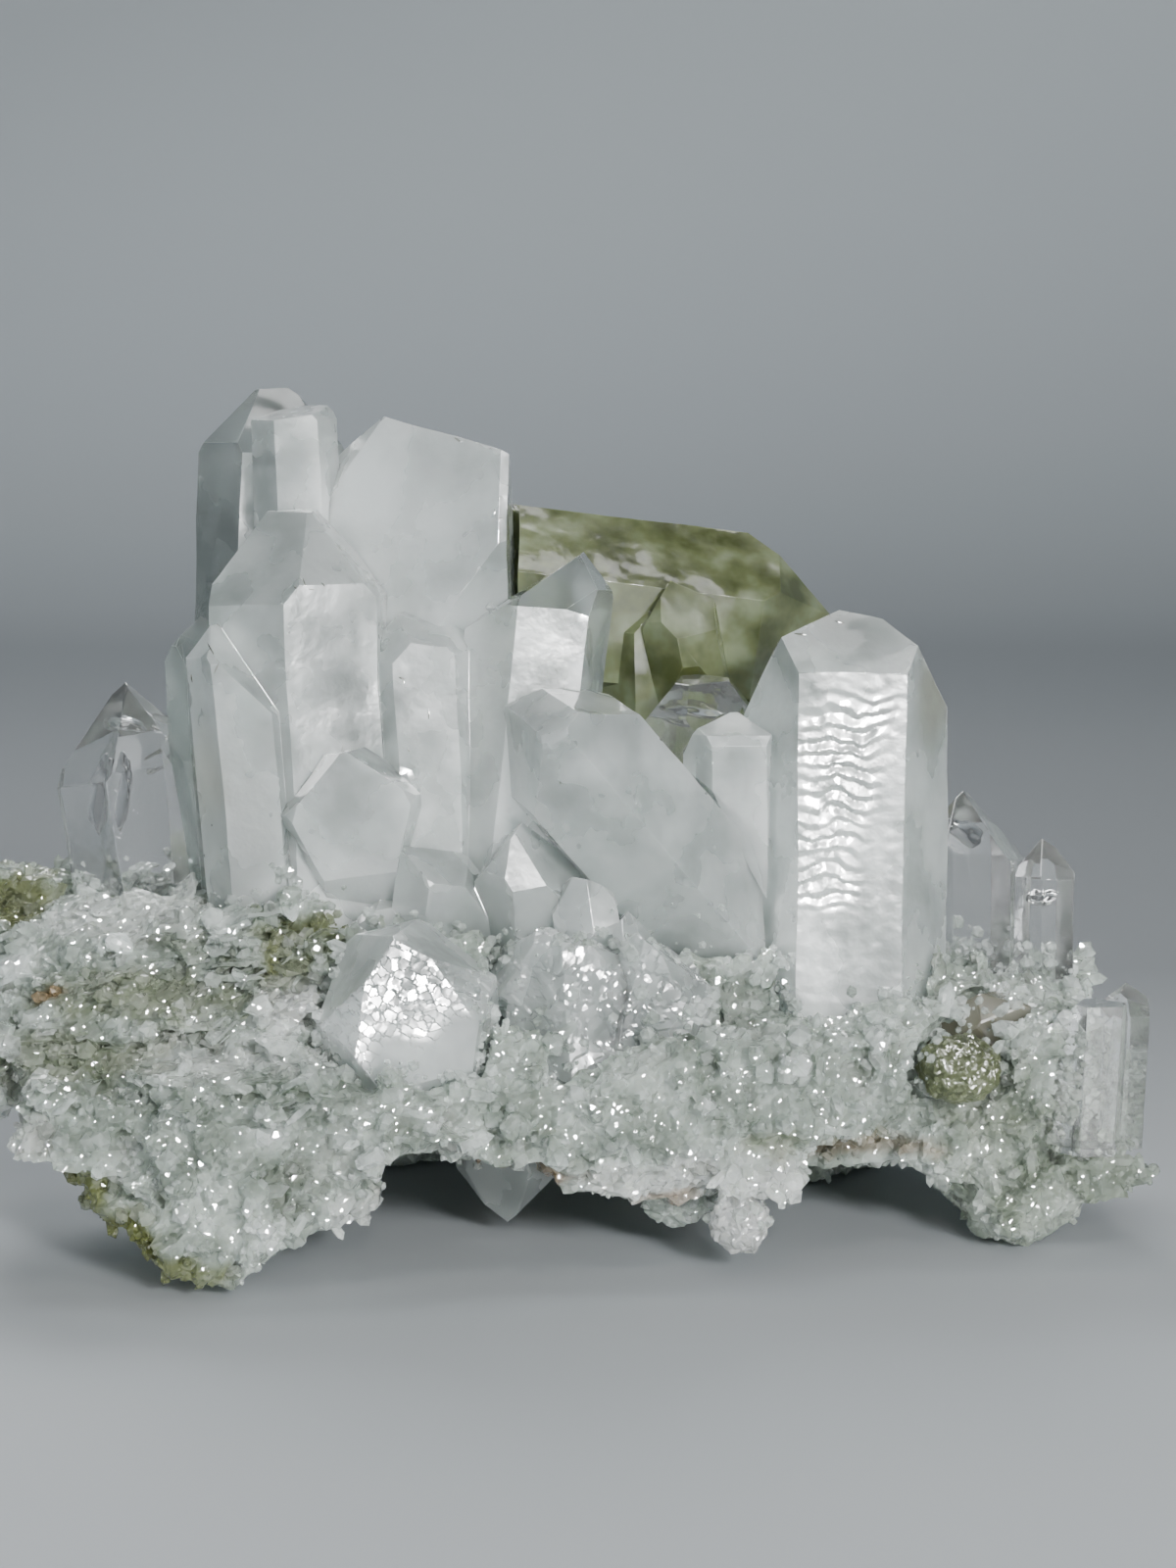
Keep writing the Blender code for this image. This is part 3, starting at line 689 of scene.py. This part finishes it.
# Each film: its middle and half widths in millimetres, its turn in degrees and its slot.
FILMS = (
    ((-4.3, -1.4, 26.4), (0.45, 0.25, 1.0), (10, 0, 10), "milky_quartz"),
    ((-0.9, -1.2, 27.0), (0.35, 0.25, 0.9), (0, -20, 0), "milky_quartz"),
    ((-2.4, -1.6, 24.0), (0.3, 0.2, 1.3), (0, 12, 20), "milky_quartz"),
    ((-21.4, 1.8, 22.6), (0.9, 0.5, 0.12), (30, 20, 0), "clear_quartz"),
    ((-19.8, 1.4, 21.2), (1.0, 0.9, 0.1), (-20, -35, 0), "clear_quartz"),
    ((-21.6, 1.0, 19.6), (0.12, 0.9, 1.5), (0, 10, 30), "clear_quartz"),
    ((4.8, 2.4, 23.2), (1.2, 0.6, 0.12), (25, 10, 0), "clear_quartz"),
    ((17.8, 4.4, 17.2), (0.9, 0.8, 0.1), (30, 25, 0), "clear_quartz"),
    ((21.5, 3.6, 14.6), (0.5, 0.5, 0.08), (30, -20, 0), "clear_quartz"),
)


def add_film(number, middle, reach, turn, slot):
    bm = bmesh.new()
    bmesh.ops.create_icosphere(bm, subdivisions=4, radius=1.0)
    for corner in bm.verts:
        corner.co *= 1 + 0.35 * noise.noise(corner.co * 1.3 + Vector((number * 5.0, 0, 0)))
    tilt = Matrix.Rotation(radians(turn[2]), 4, "Z") @ Matrix.Rotation(radians(turn[1]), 4, "Y")
    tilt = tilt @ Matrix.Rotation(radians(turn[0]), 4, "X")
    place = Matrix.Translation((Vector(middle) + WORK) * MM)
    bm.transform(place @ tilt @ Matrix.Diagonal((*[value * MM for value in reach], 1.0)))
    mesh = bpy.data.meshes.new("film")
    bm.to_mesh(mesh)
    bm.free()
    for face in mesh.polygons:
        face.use_smooth = True
    mesh.materials.append(film)
    made = bpy.data.objects.new(f"air_film_{number}", mesh)
    bpy.context.scene.collection.objects.link(made)
    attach(made, "root")


for number, shape_of_film in enumerate(FILMS):
    add_film(number, *shape_of_film)
print("healed cracks:", len(FILMS))

# %% [markdown]
# ## Dark specks
# Grains of chlorite stick to the faces, and a few short cracks hold dirt. Each is dropped on
# the first crystal that a ray from the front meets, and lies flat on that face.

# %% Specks
# Each speck: its place across and up, its half length and half width, and its slant in degrees.
SPECKS = (
    (-16.6, 27.0, 0.34, 0.035, -14), (-16.3, 26.2, 0.3, 0.03, -24), (-11.1, 31.3, 0.13, 0.06, -20),
    (-12.5, 29.9, 0.2, 0.03, 5), (-12.9, 29.7, 0.16, 0.03, 60), (-12.2, 29.6, 0.14, 0.025, 80),
    (-11.7, 29.8, 0.12, 0.03, 30), (-17.6, 25.6, 0.18, 0.07, 10), (-17.5, 28.2, 0.2, 0.12, 70),
    (-8.3, 25.6, 0.16, 0.04, 70), (-8.2, 25.4, 0.1, 0.05, 10), (-7.1, 24.0, 0.22, 0.03, 0),
    (-7.3, 36.7, 0.24, 0.05, 75), (-5.9, 36.1, 0.2, 0.04, 60), (-4.2, 32.9, 0.14, 0.03, 0),
    (-3.9, 32.6, 0.12, 0.03, 70), (9.6, 27.4, 0.3, 0.06, 80), (11.4, 27.9, 0.22, 0.05, 70),
    (3.2, 23.0, 0.1, 0.03, 40), (-1.2, 21.4, 0.08, 0.03, 10), (-8.0, 22.4, 0.1, 0.03, 30),
)


def add_specks():
    crystals = bmesh.new()
    for made in bpy.data.objects:
        if made.name.endswith("_grown"):
            crystals.from_mesh(made.data)
    faces = BVHTree.FromBMesh(crystals)
    crystals.free()
    bm = bmesh.new()
    for x, z, length, width, slant in SPECKS:
        start = (Vector((x, -30.0, z)) + WORK) * MM
        spot, normal, _, _ = faces.ray_cast(start, Vector((0, 1, 0)))
        if spot is None:
            continue
        grain = bmesh.ops.create_icosphere(bm, subdivisions=2, radius=1.0)["verts"]
        for corner in grain:
            corner.co *= 1 + 0.5 * noise.noise(corner.co * 1.5 + spot / MM)
        flat = normal.to_track_quat("Z", "Y").to_matrix().to_4x4()
        lie = Matrix.Translation(spot) @ flat @ Matrix.Rotation(radians(slant), 4, "Z")
        lie = lie @ Matrix.Diagonal((width * MM, length * MM, 0.03 * MM, 1.0))
        bmesh.ops.transform(bm, matrix=lie, verts=grain)
    mesh = bpy.data.meshes.new("specks")
    bm.to_mesh(mesh)
    bm.free()
    mesh.materials.append(dirt)
    made = bpy.data.objects.new("specks", mesh)
    bpy.context.scene.collection.objects.link(made)
    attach(made, "root")
    print("specks:", len(SPECKS))


dirt = quartz("dark specks", ((0.3, (0.06, 0.065, 0.05)), (0.7, (0.2, 0.21, 0.17))), 0.2, depth=0.1)
add_specks()

# %% [markdown]
# ## The plate
# The rock's solid is remeshed into an even skin of small faces, which is then pushed in and
# out: a broad swell, lumps the size of a grain of rice, and the sugar grains themselves. On
# the left the plate is built of thin sheets, so there the push goes in steps with height.

# %% Rock skin
ROCK_VOXEL = 0.27 * MM


def remeshed(bm, voxel, name):
    mesh = bpy.data.meshes.new(name)
    bm.to_mesh(mesh)
    bm.free()
    made = bpy.data.objects.new(name, mesh)
    bpy.context.scene.collection.objects.link(made)
    skin = made.modifiers.new("skin", "REMESH")
    skin.mode = "VOXEL"
    skin.voxel_size = voxel
    evaluated = made.evaluated_get(bpy.context.evaluated_depsgraph_get())
    result = bmesh.new()
    result.from_mesh(evaluated.data)
    bpy.data.objects.remove(made)
    return result


# %% Grow the rock
def sheet_push(point):
    """Thin sheets that end in steps; only where the plate is layered."""
    layered = ease((-9.5 - point.x) / 4.0) * ease((point.z - 8.0) / 2.0)
    if layered <= 0.0:
        return 0.0, 0.0
    level = point.z + 0.16 * point.x + 0.8 * noise.noise(point / 5.0) + 0.3 * noise.noise(point / 1.7)
    step = level / 0.85
    ledge = noise.noise(Vector((point.x / 3.0, point.y / 3.0, int(step // 1) * 7.3)))
    rise = step % 1.0
    return layered, ledge * 0.9 + (0.25 if rise > 0.35 else -0.35)


ROCK_TINTS = ("chlorite", "rust", "white")


def grow_rock():
    bm = remeshed(merged_copy("matrix"), ROCK_VOXEL, "rock_skin")
    bm.normal_update()
    tints = {kind: bm.verts.layers.float.new(kind) for kind in ROCK_TINTS}
    layers = {kind: bm.verts.layers.float.new(kind) for kind in ("pit", "sugar", "sheets")}
    for corner in bm.verts:
        point = corner.co / MM - WORK
        upright = abs(corner.normal.z)
        layered, sheet = sheet_push(point)
        swell = noise.noise(point / 4.0) * 0.3
        lumps = facet(point, 2.2) * 0.42
        grains = facet(point, 0.9) * 0.34
        push = swell + lumps * (1 - 0.6 * layered) + grains + sheet * (1 - upright) * 0.9 - 0.1
        if point.z < 0.8:
            push = min(push, 0.0)
        paint(corner, tints)
        # Painted shade: the deeper a corner is pushed in, the darker its recess is painted.
        corner[layers["pit"]] = 0.55 * ease((-0.15 - push) / 0.45)
        front = ease(0.5 - corner.normal.y * 0.7)
        below = ease((-corner.normal.z - 0.3) / 0.5)
        corner[layers["sugar"]] = (0.35 + 0.65 * front) * (1 - 0.7 * below) * (1 - 0.2 * layered)
        corner[layers["sheets"]] = layered * front
        corner.co += corner.normal * push * MM
        corner.co.z = max(corner.co.z, 0.0)
    return add_piece(bm, "matrix_grown", rock, "matrix")


plate = grow_rock()

# %% [markdown]
# ## The crust
# Thousands of grains can't be placed by hand. A Geometry Nodes tree scatters points over
# the rock, more where the "sugar" attribute is high, stands a small shape on each, and makes
# them real. A last, fine noise bends every one a little, so that no two are alike.

# %% Three small shapes
def small_shape(name, bm):
    mesh = bpy.data.meshes.new(name)
    bmesh.ops.recalc_face_normals(bm, faces=bm.faces[:])
    bm.to_mesh(mesh)
    bm.free()
    made = bpy.data.objects.new(name, mesh)
    bpy.context.scene.collection.objects.link(made)
    return made


def chunk_shape():
    bm = bmesh.new()
    bmesh.ops.create_icosphere(bm, subdivisions=1, radius=1.0)
    return small_shape("chunk", bm)


def point_shape():
    bm = bmesh.new()
    bmesh.ops.create_cone(bm, cap_ends=True, segments=6, radius1=0.5, radius2=0.46, depth=1.6)
    top = [face for face in bm.faces if face.normal.z > 0.9]
    tip = bmesh.ops.poke(bm, faces=top)["verts"][0]
    tip.co += Vector((0.12, 0.05, 0.5))
    return small_shape("point", bm)


def flake_shape():
    bm = bmesh.new()
    bmesh.ops.create_cone(bm, cap_ends=True, segments=10, radius1=1.0, radius2=0.85, depth=0.2)
    for corner in bm.verts:
        corner.co.xy *= 0.95 + 0.45 * noise.noise(Vector((corner.co.x * 2, corner.co.y * 2, 0)))
    bm.transform(Matrix.Diagonal((1.4, 1.0, 1.0, 1.0)))
    return small_shape("flake", bm)


shapes = {"chunk": chunk_shape(), "point": point_shape(), "flake": flake_shape()}

# %% The crust tree
def crust_tree():
    tree = bpy.data.node_groups.new("crust", "GeometryNodeTree")
    face = tree.interface
    face.new_socket("Geometry", in_out="INPUT", socket_type="NodeSocketGeometry")
    for title, kind in (
        ("Grain", "NodeSocketObject"), ("Where", "NodeSocketString"), ("Density", "NodeSocketFloat"),
        ("Smallest", "NodeSocketFloat"), ("Largest", "NodeSocketFloat"), ("Tilt", "NodeSocketFloat"),
        ("Ragged", "NodeSocketFloat"), ("Waves", "NodeSocketFloat"), ("Level", "NodeSocketBool"),
        ("Seed", "NodeSocketInt"), ("Finish", "NodeSocketMaterial"),
    ):
        face.new_socket(title, in_out="INPUT", socket_type=kind)
    face.new_socket("Geometry", in_out="OUTPUT", socket_type="NodeSocketGeometry")
    link = tree.links.new
    given = tree.nodes.new("NodeGroupInput").outputs
    made = tree.nodes.new("NodeGroupOutput")

    mask = node(tree, "GeometryNodeInputNamedAttribute", data_type="FLOAT")
    link(given["Where"], mask.inputs["Name"])
    density = node(tree, "ShaderNodeMath", operation="MULTIPLY")
    link(mask.outputs["Attribute"], density.inputs[0])
    link(given["Density"], density.inputs[1])
    scatter = tree.nodes.new("GeometryNodeDistributePointsOnFaces")
    link(given["Geometry"], scatter.inputs["Mesh"])
    link(density.outputs[0], scatter.inputs["Density"])
    link(given["Seed"], scatter.inputs["Seed"])

    low = tree.nodes.new("ShaderNodeCombineXYZ")
    high = tree.nodes.new("ShaderNodeCombineXYZ")
    minus = node(tree, "ShaderNodeMath", operation="MULTIPLY")
    minus.inputs[1].default_value = -1.0
    link(given["Tilt"], minus.inputs[0])
    for axis in ("X", "Y"):
        link(minus.outputs[0], low.inputs[axis])
        link(given["Tilt"], high.inputs[axis])
    high.inputs["Z"].default_value = 2 * pi
    swing = node(tree, "FunctionNodeRandomValue", data_type="FLOAT_VECTOR")
    link(low.outputs[0], swing.inputs[0])
    link(high.outputs[0], swing.inputs[1])
    link(given["Seed"], swing.inputs["Seed"])
    turn = tree.nodes.new("FunctionNodeEulerToRotation")
    link(swing.outputs[0], turn.inputs[0])
    sheets = tree.nodes.new("FunctionNodeEulerToRotation")
    sheets.inputs[0].default_value = (0.25, -0.22, 0.0)
    base = node(tree, "GeometryNodeSwitch", input_type="ROTATION")
    link(given["Level"], base.inputs["Switch"])
    link(scatter.outputs["Rotation"], base.inputs["False"])
    link(sheets.outputs[0], base.inputs["True"])
    stand = node(tree, "FunctionNodeRotateRotation", rotation_space="LOCAL")
    link(base.outputs[0], stand.inputs[0])
    link(turn.outputs[0], stand.inputs[1])

    chance = node(tree, "FunctionNodeRandomValue", data_type="FLOAT")
    link(given["Seed"], chance.inputs["Seed"])
    mostly_small = node(tree, "ShaderNodeMath", operation="POWER")
    mostly_small.inputs[1].default_value = 2.5
    link(chance.outputs[1], mostly_small.inputs[0])
    size = tree.nodes.new("ShaderNodeMapRange")
    link(mostly_small.outputs[0], size.inputs["Value"])
    link(given["Smallest"], size.inputs["To Min"])
    link(given["Largest"], size.inputs["To Max"])

    shape = node(tree, "GeometryNodeObjectInfo", transform_space="ORIGINAL")
    link(given["Grain"], shape.inputs["Object"])
    place = tree.nodes.new("GeometryNodeInstanceOnPoints")
    link(scatter.outputs["Points"], place.inputs["Points"])
    link(shape.outputs["Geometry"], place.inputs["Instance"])
    link(stand.outputs[0], place.inputs["Rotation"])
    link(size.outputs["Result"], place.inputs["Scale"])
    real = tree.nodes.new("GeometryNodeRealizeInstances")
    link(place.outputs["Instances"], real.inputs["Geometry"])

    wobble = node(tree, "ShaderNodeTexNoise", detail=1.0)
    waves = node(tree, "ShaderNodeMath", operation="DIVIDE")
    waves.inputs[0].default_value = 1.0
    link(given["Waves"], waves.inputs[1])
    link(waves.outputs[0], wobble.inputs["Scale"])
    centred = node(tree, "ShaderNodeVectorMath", operation="SUBTRACT")
    centred.inputs[1].default_value = (0.5, 0.5, 0.5)
    link(wobble.outputs["Color"], centred.inputs[0])
    amount = node(tree, "ShaderNodeVectorMath", operation="SCALE")
    link(centred.outputs[0], amount.inputs[0])
    link(given["Ragged"], amount.inputs["Scale"])
    bend = tree.nodes.new("GeometryNodeSetPosition")
    link(real.outputs["Geometry"], bend.inputs["Geometry"])
    link(amount.outputs[0], bend.inputs["Offset"])
    coat = tree.nodes.new("GeometryNodeSetMaterial")
    link(bend.outputs["Geometry"], coat.inputs["Geometry"])
    link(given["Finish"], coat.inputs["Material"])
    link(coat.outputs["Geometry"], made.inputs["Geometry"])
    return tree


CRUST = crust_tree()

# %% Growing a crust
# The modifier's inputs are set by their sockets' identifiers, and the result is kept as a
# plain mesh.
def grow_crust(name, ground, slot, **values):
    worker = bpy.data.objects.new("worker", ground.data.copy())
    bpy.context.scene.collection.objects.link(worker)
    step = worker.modifiers.new("crust", "NODES")
    step.node_group = CRUST
    sockets = {item.name: item.identifier for item in CRUST.interface.items_tree
               if item.in_out == "INPUT"}
    for title, value in values.items():
        step[sockets[title]] = value
    evaluated = worker.evaluated_get(bpy.context.evaluated_depsgraph_get())
    mesh = bpy.data.meshes.new_from_object(evaluated)
    mesh.name = name
    for corner in mesh.vertices:
        corner.co.z = max(corner.co.z, 0.0)
    bpy.data.objects.remove(worker)
    made = bpy.data.objects.new(name, mesh)
    bpy.context.scene.collection.objects.link(made)
    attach(made, "root")
    print(name, "triangles:", sum(len(face.vertices) - 2 for face in mesh.polygons))
    return made


crusts = (
    ("fine_sugar", "chunk", "sugar", 2.4e6, 0.06, 0.24, 3.0, 0.15, 0.3, False),
    ("coarse_sugar", "chunk", "sugar", 0.4e6, 0.2, 0.6, 3.0, 0.4, 0.5, False),
    ("druse_points", "point", "sugar", 0.35e6, 0.2, 0.8, 0.7, 0.1, 0.5, False),
    ("ledge_flakes", "flake", "sheets", 0.7e6, 0.25, 1.0, 0.5, 0.9, 0.8, True),
)
for seed, (name, shape, where, density, low, high, tilt, ragged, waves, level) in enumerate(crusts):
    grow_crust(name, plate, "sugary_rock", Grain=shapes[shape], Where=where, Density=density,
               Smallest=low * MM, Largest=high * MM, Tilt=tilt, Ragged=ragged * MM,
               Waves=waves * MM, Level=level, Seed=seed + 3, Finish=sugar)

# %% [markdown]
# ## Sugar on the crystals' feet
# The crust climbs a little way up each crystal, so no clean line shows where it leaves the
# rock. The crystals' meshes are gathered in one, and each corner near the rock is marked.
# The low grey crystals carry patches of it too.

# %% Sugared feet
def marked_crystals(rule):
    bm = bmesh.new()
    for made in bpy.data.objects:
        if made.name.endswith("_grown") and "matrix" not in made.name:
            bm.from_mesh(made.data)
    bm.normal_update()
    tints = {kind: bm.verts.layers.float.new(kind) for kind in ("rust", "white")}
    tints["chlorite"] = bm.verts.layers.float.new("chlorite")
    mark = bm.verts.layers.float.new("mark")
    for corner in bm.verts:
        corner[mark] = rule(corner)
        if corner[mark] > 0.0:
            paint(corner, tints)
    mesh = bpy.data.meshes.new("marked")
    bm.to_mesh(mesh)
    bm.free()
    made = bpy.data.objects.new("marked", mesh)
    bpy.context.scene.collection.objects.link(made)
    return made


rock_tree = BVHTree.FromObject(plate, bpy.context.evaluated_depsgraph_get())


def near_rock(corner):
    spot, _, _, away = rock_tree.find_nearest(corner.co, 3.0 * MM)
    if spot is None:
        return 0.0
    climb = 1.1 + 1.1 * noise.noise(corner.co / (1.8 * MM))
    return ease((climb - away / MM) / 0.8)


def on_mound(corner):
    """Patches on the low grey crystals."""
    x, y, z = corner.co / MM - WORK
    if not (-5.0 < x < 6.0 and y < -4.0 and 8.0 < z < 15.6):
        return 0.0
    return 0.5 * ease(noise.noise(Vector((x, y, z)) / 1.4) * 2.0 + 0.3)


feet = marked_crystals(lambda corner: max(near_rock(corner), on_mound(corner)))
grow_crust("foot_sugar", feet, "sugary_rock", Grain=shapes["chunk"], Where="mark", Density=3.4e6,
           Smallest=0.08 * MM, Largest=0.42 * MM, Tilt=3.0, Ragged=0.2 * MM, Waves=0.4 * MM,
           Seed=11, Finish=sugar)
grow_crust("foot_points", feet, "sugary_rock", Grain=shapes["point"], Where="mark", Density=0.8e6,
           Smallest=0.2 * MM, Largest=0.7 * MM, Tilt=0.6, Ragged=0.1 * MM, Waves=0.4 * MM,
           Seed=12, Finish=sugar)
bpy.data.objects.remove(feet)
for shape in shapes.values():
    bpy.data.objects.remove(shape)

# %% [markdown]
# ## Floor and light
# A floor bends up into a backdrop, so no horizon shows. Its colour holds painted shade and painted light: pale
# at the front, darker just behind the specimen and lighter up the backdrop. One broad light above and to the
# right front is the key, a weaker one fills from the left, and one behind makes the crystals glow at their
# edges.

# %% Floor
# Painted shade and light: the floor is pale in front, dark just behind the specimen and lighter again up the
# backdrop.
FLOOR_PAINTED_SHADE = (
    (0.0, (0.36, 0.39, 0.41)), (0.16, (0.12, 0.137, 0.15)), (0.6, (0.10, 0.115, 0.127)),
    (1.0, (0.44, 0.49, 0.52)),
)


def sweep_floor():
    bm = bmesh.new()
    profile = [(-0.9, 0.0), (0.25, 0.0)]
    radius = 0.25
    for step in range(1, 13):
        angle = step / 12 * pi / 2
        profile.append((0.25 + radius * sin(angle), radius * (1 - cos(angle))))
    profile.append((0.5, 1.2))
    rows = [[bm.verts.new((side, y, z)) for side in (-1.2, 1.2)] for y, z in profile]
    for low, high in zip(rows, rows[1:]):
        face = bm.faces.new((low[0], low[1], high[1], high[0]))
        face.smooth = True
    mesh = bpy.data.meshes.new("floor")
    bm.to_mesh(mesh)
    bm.free()
    made = bpy.data.objects.new("floor", mesh)
    bpy.context.scene.collection.objects.link(made)
    paint = bpy.data.materials.new("floor with painted shade")
    paint.use_nodes = True
    shader = paint.node_tree.nodes["Principled BSDF"]
    place = node(paint.node_tree, "ShaderNodeTexCoord")
    split = node(paint.node_tree, "ShaderNodeSeparateXYZ")
    paint.node_tree.links.new(place.outputs["Object"], split.inputs[0])
    far = node(paint.node_tree, "ShaderNodeMapRange")
    far.inputs["From Min"].default_value = -0.02
    far.inputs["From Max"].default_value = 0.5
    paint.node_tree.links.new(split.outputs["Y"], far.inputs["Value"])
    fade = ramp(paint.node_tree, FLOOR_PAINTED_SHADE)
    paint.node_tree.links.new(far.outputs["Result"], fade.inputs["Fac"])
    paint.node_tree.links.new(fade.outputs["Color"], shader.inputs["Base Color"])
    shader.inputs["Roughness"].default_value = 0.7
    mesh.materials.append(paint)
    return made


sweep_floor()

# %% Lights
def area_light(name, place, aim, size, watts, colour=(1, 1, 1)):
    lamp = bpy.data.lights.new(name, "AREA")
    lamp.shape = "DISK"
    lamp.size = size
    lamp.energy = watts
    lamp.color = colour
    made = bpy.data.objects.new(name, lamp)
    made.location = place
    made.rotation_euler = (Vector(place) - Vector(aim)).to_track_quat("Z", "Y").to_euler()
    bpy.context.scene.collection.objects.link(made)
    return made


AIM = (0.0, 0.0, 0.018)
area_light("key", (0.14, -0.34, 0.14), AIM, 0.06, 1.45)
for name, place, size, watts in (
    ("front_glint", (0.045, -0.39, 0.197), 0.06, 8.0),
    ("side_glint", (0.22, -0.36, 0.12), 0.065, 9.0),
    ("high_glint", (0.06, -0.2, 0.34), 0.06, 4.0),
):
    glint = area_light(name, place, AIM, size, watts)
    glint.visible_diffuse = False
    glint.visible_transmission = False
area_light("fill", (-0.35, -0.3, 0.12), AIM, 0.3, 0.6, (0.92, 0.97, 1.0))
area_light("glow", (-0.08, 0.26, 0.3), AIM, 0.2, 0.9)
area_light("backdrop", (0.0, 0.1, 0.9), (0.0, 0.5, 0.6), 0.5, 2.8)

# The room is darker above than at the sides, as in the photo, where faces that look up are
# the darkest ones.
world = bpy.data.worlds.new("studio")
world.use_nodes = True
sky = world.node_tree
facing = node(sky, "ShaderNodeTexCoord")
height = node(sky, "ShaderNodeSeparateXYZ")
sky.links.new(facing.outputs["Generated"], height.inputs[0])
glow = ramp(sky, ((0.0, (0.40, 0.43, 0.45)), (0.3, (0.30, 0.33, 0.35)), (0.8, (0.08, 0.09, 0.1))))
sky.links.new(height.outputs["Z"], glow.inputs["Fac"])
sky.links.new(glow.outputs["Color"], sky.nodes["Background"].inputs["Color"])
sky.nodes["Background"].inputs["Strength"].default_value = 0.4
bpy.context.scene.world = world
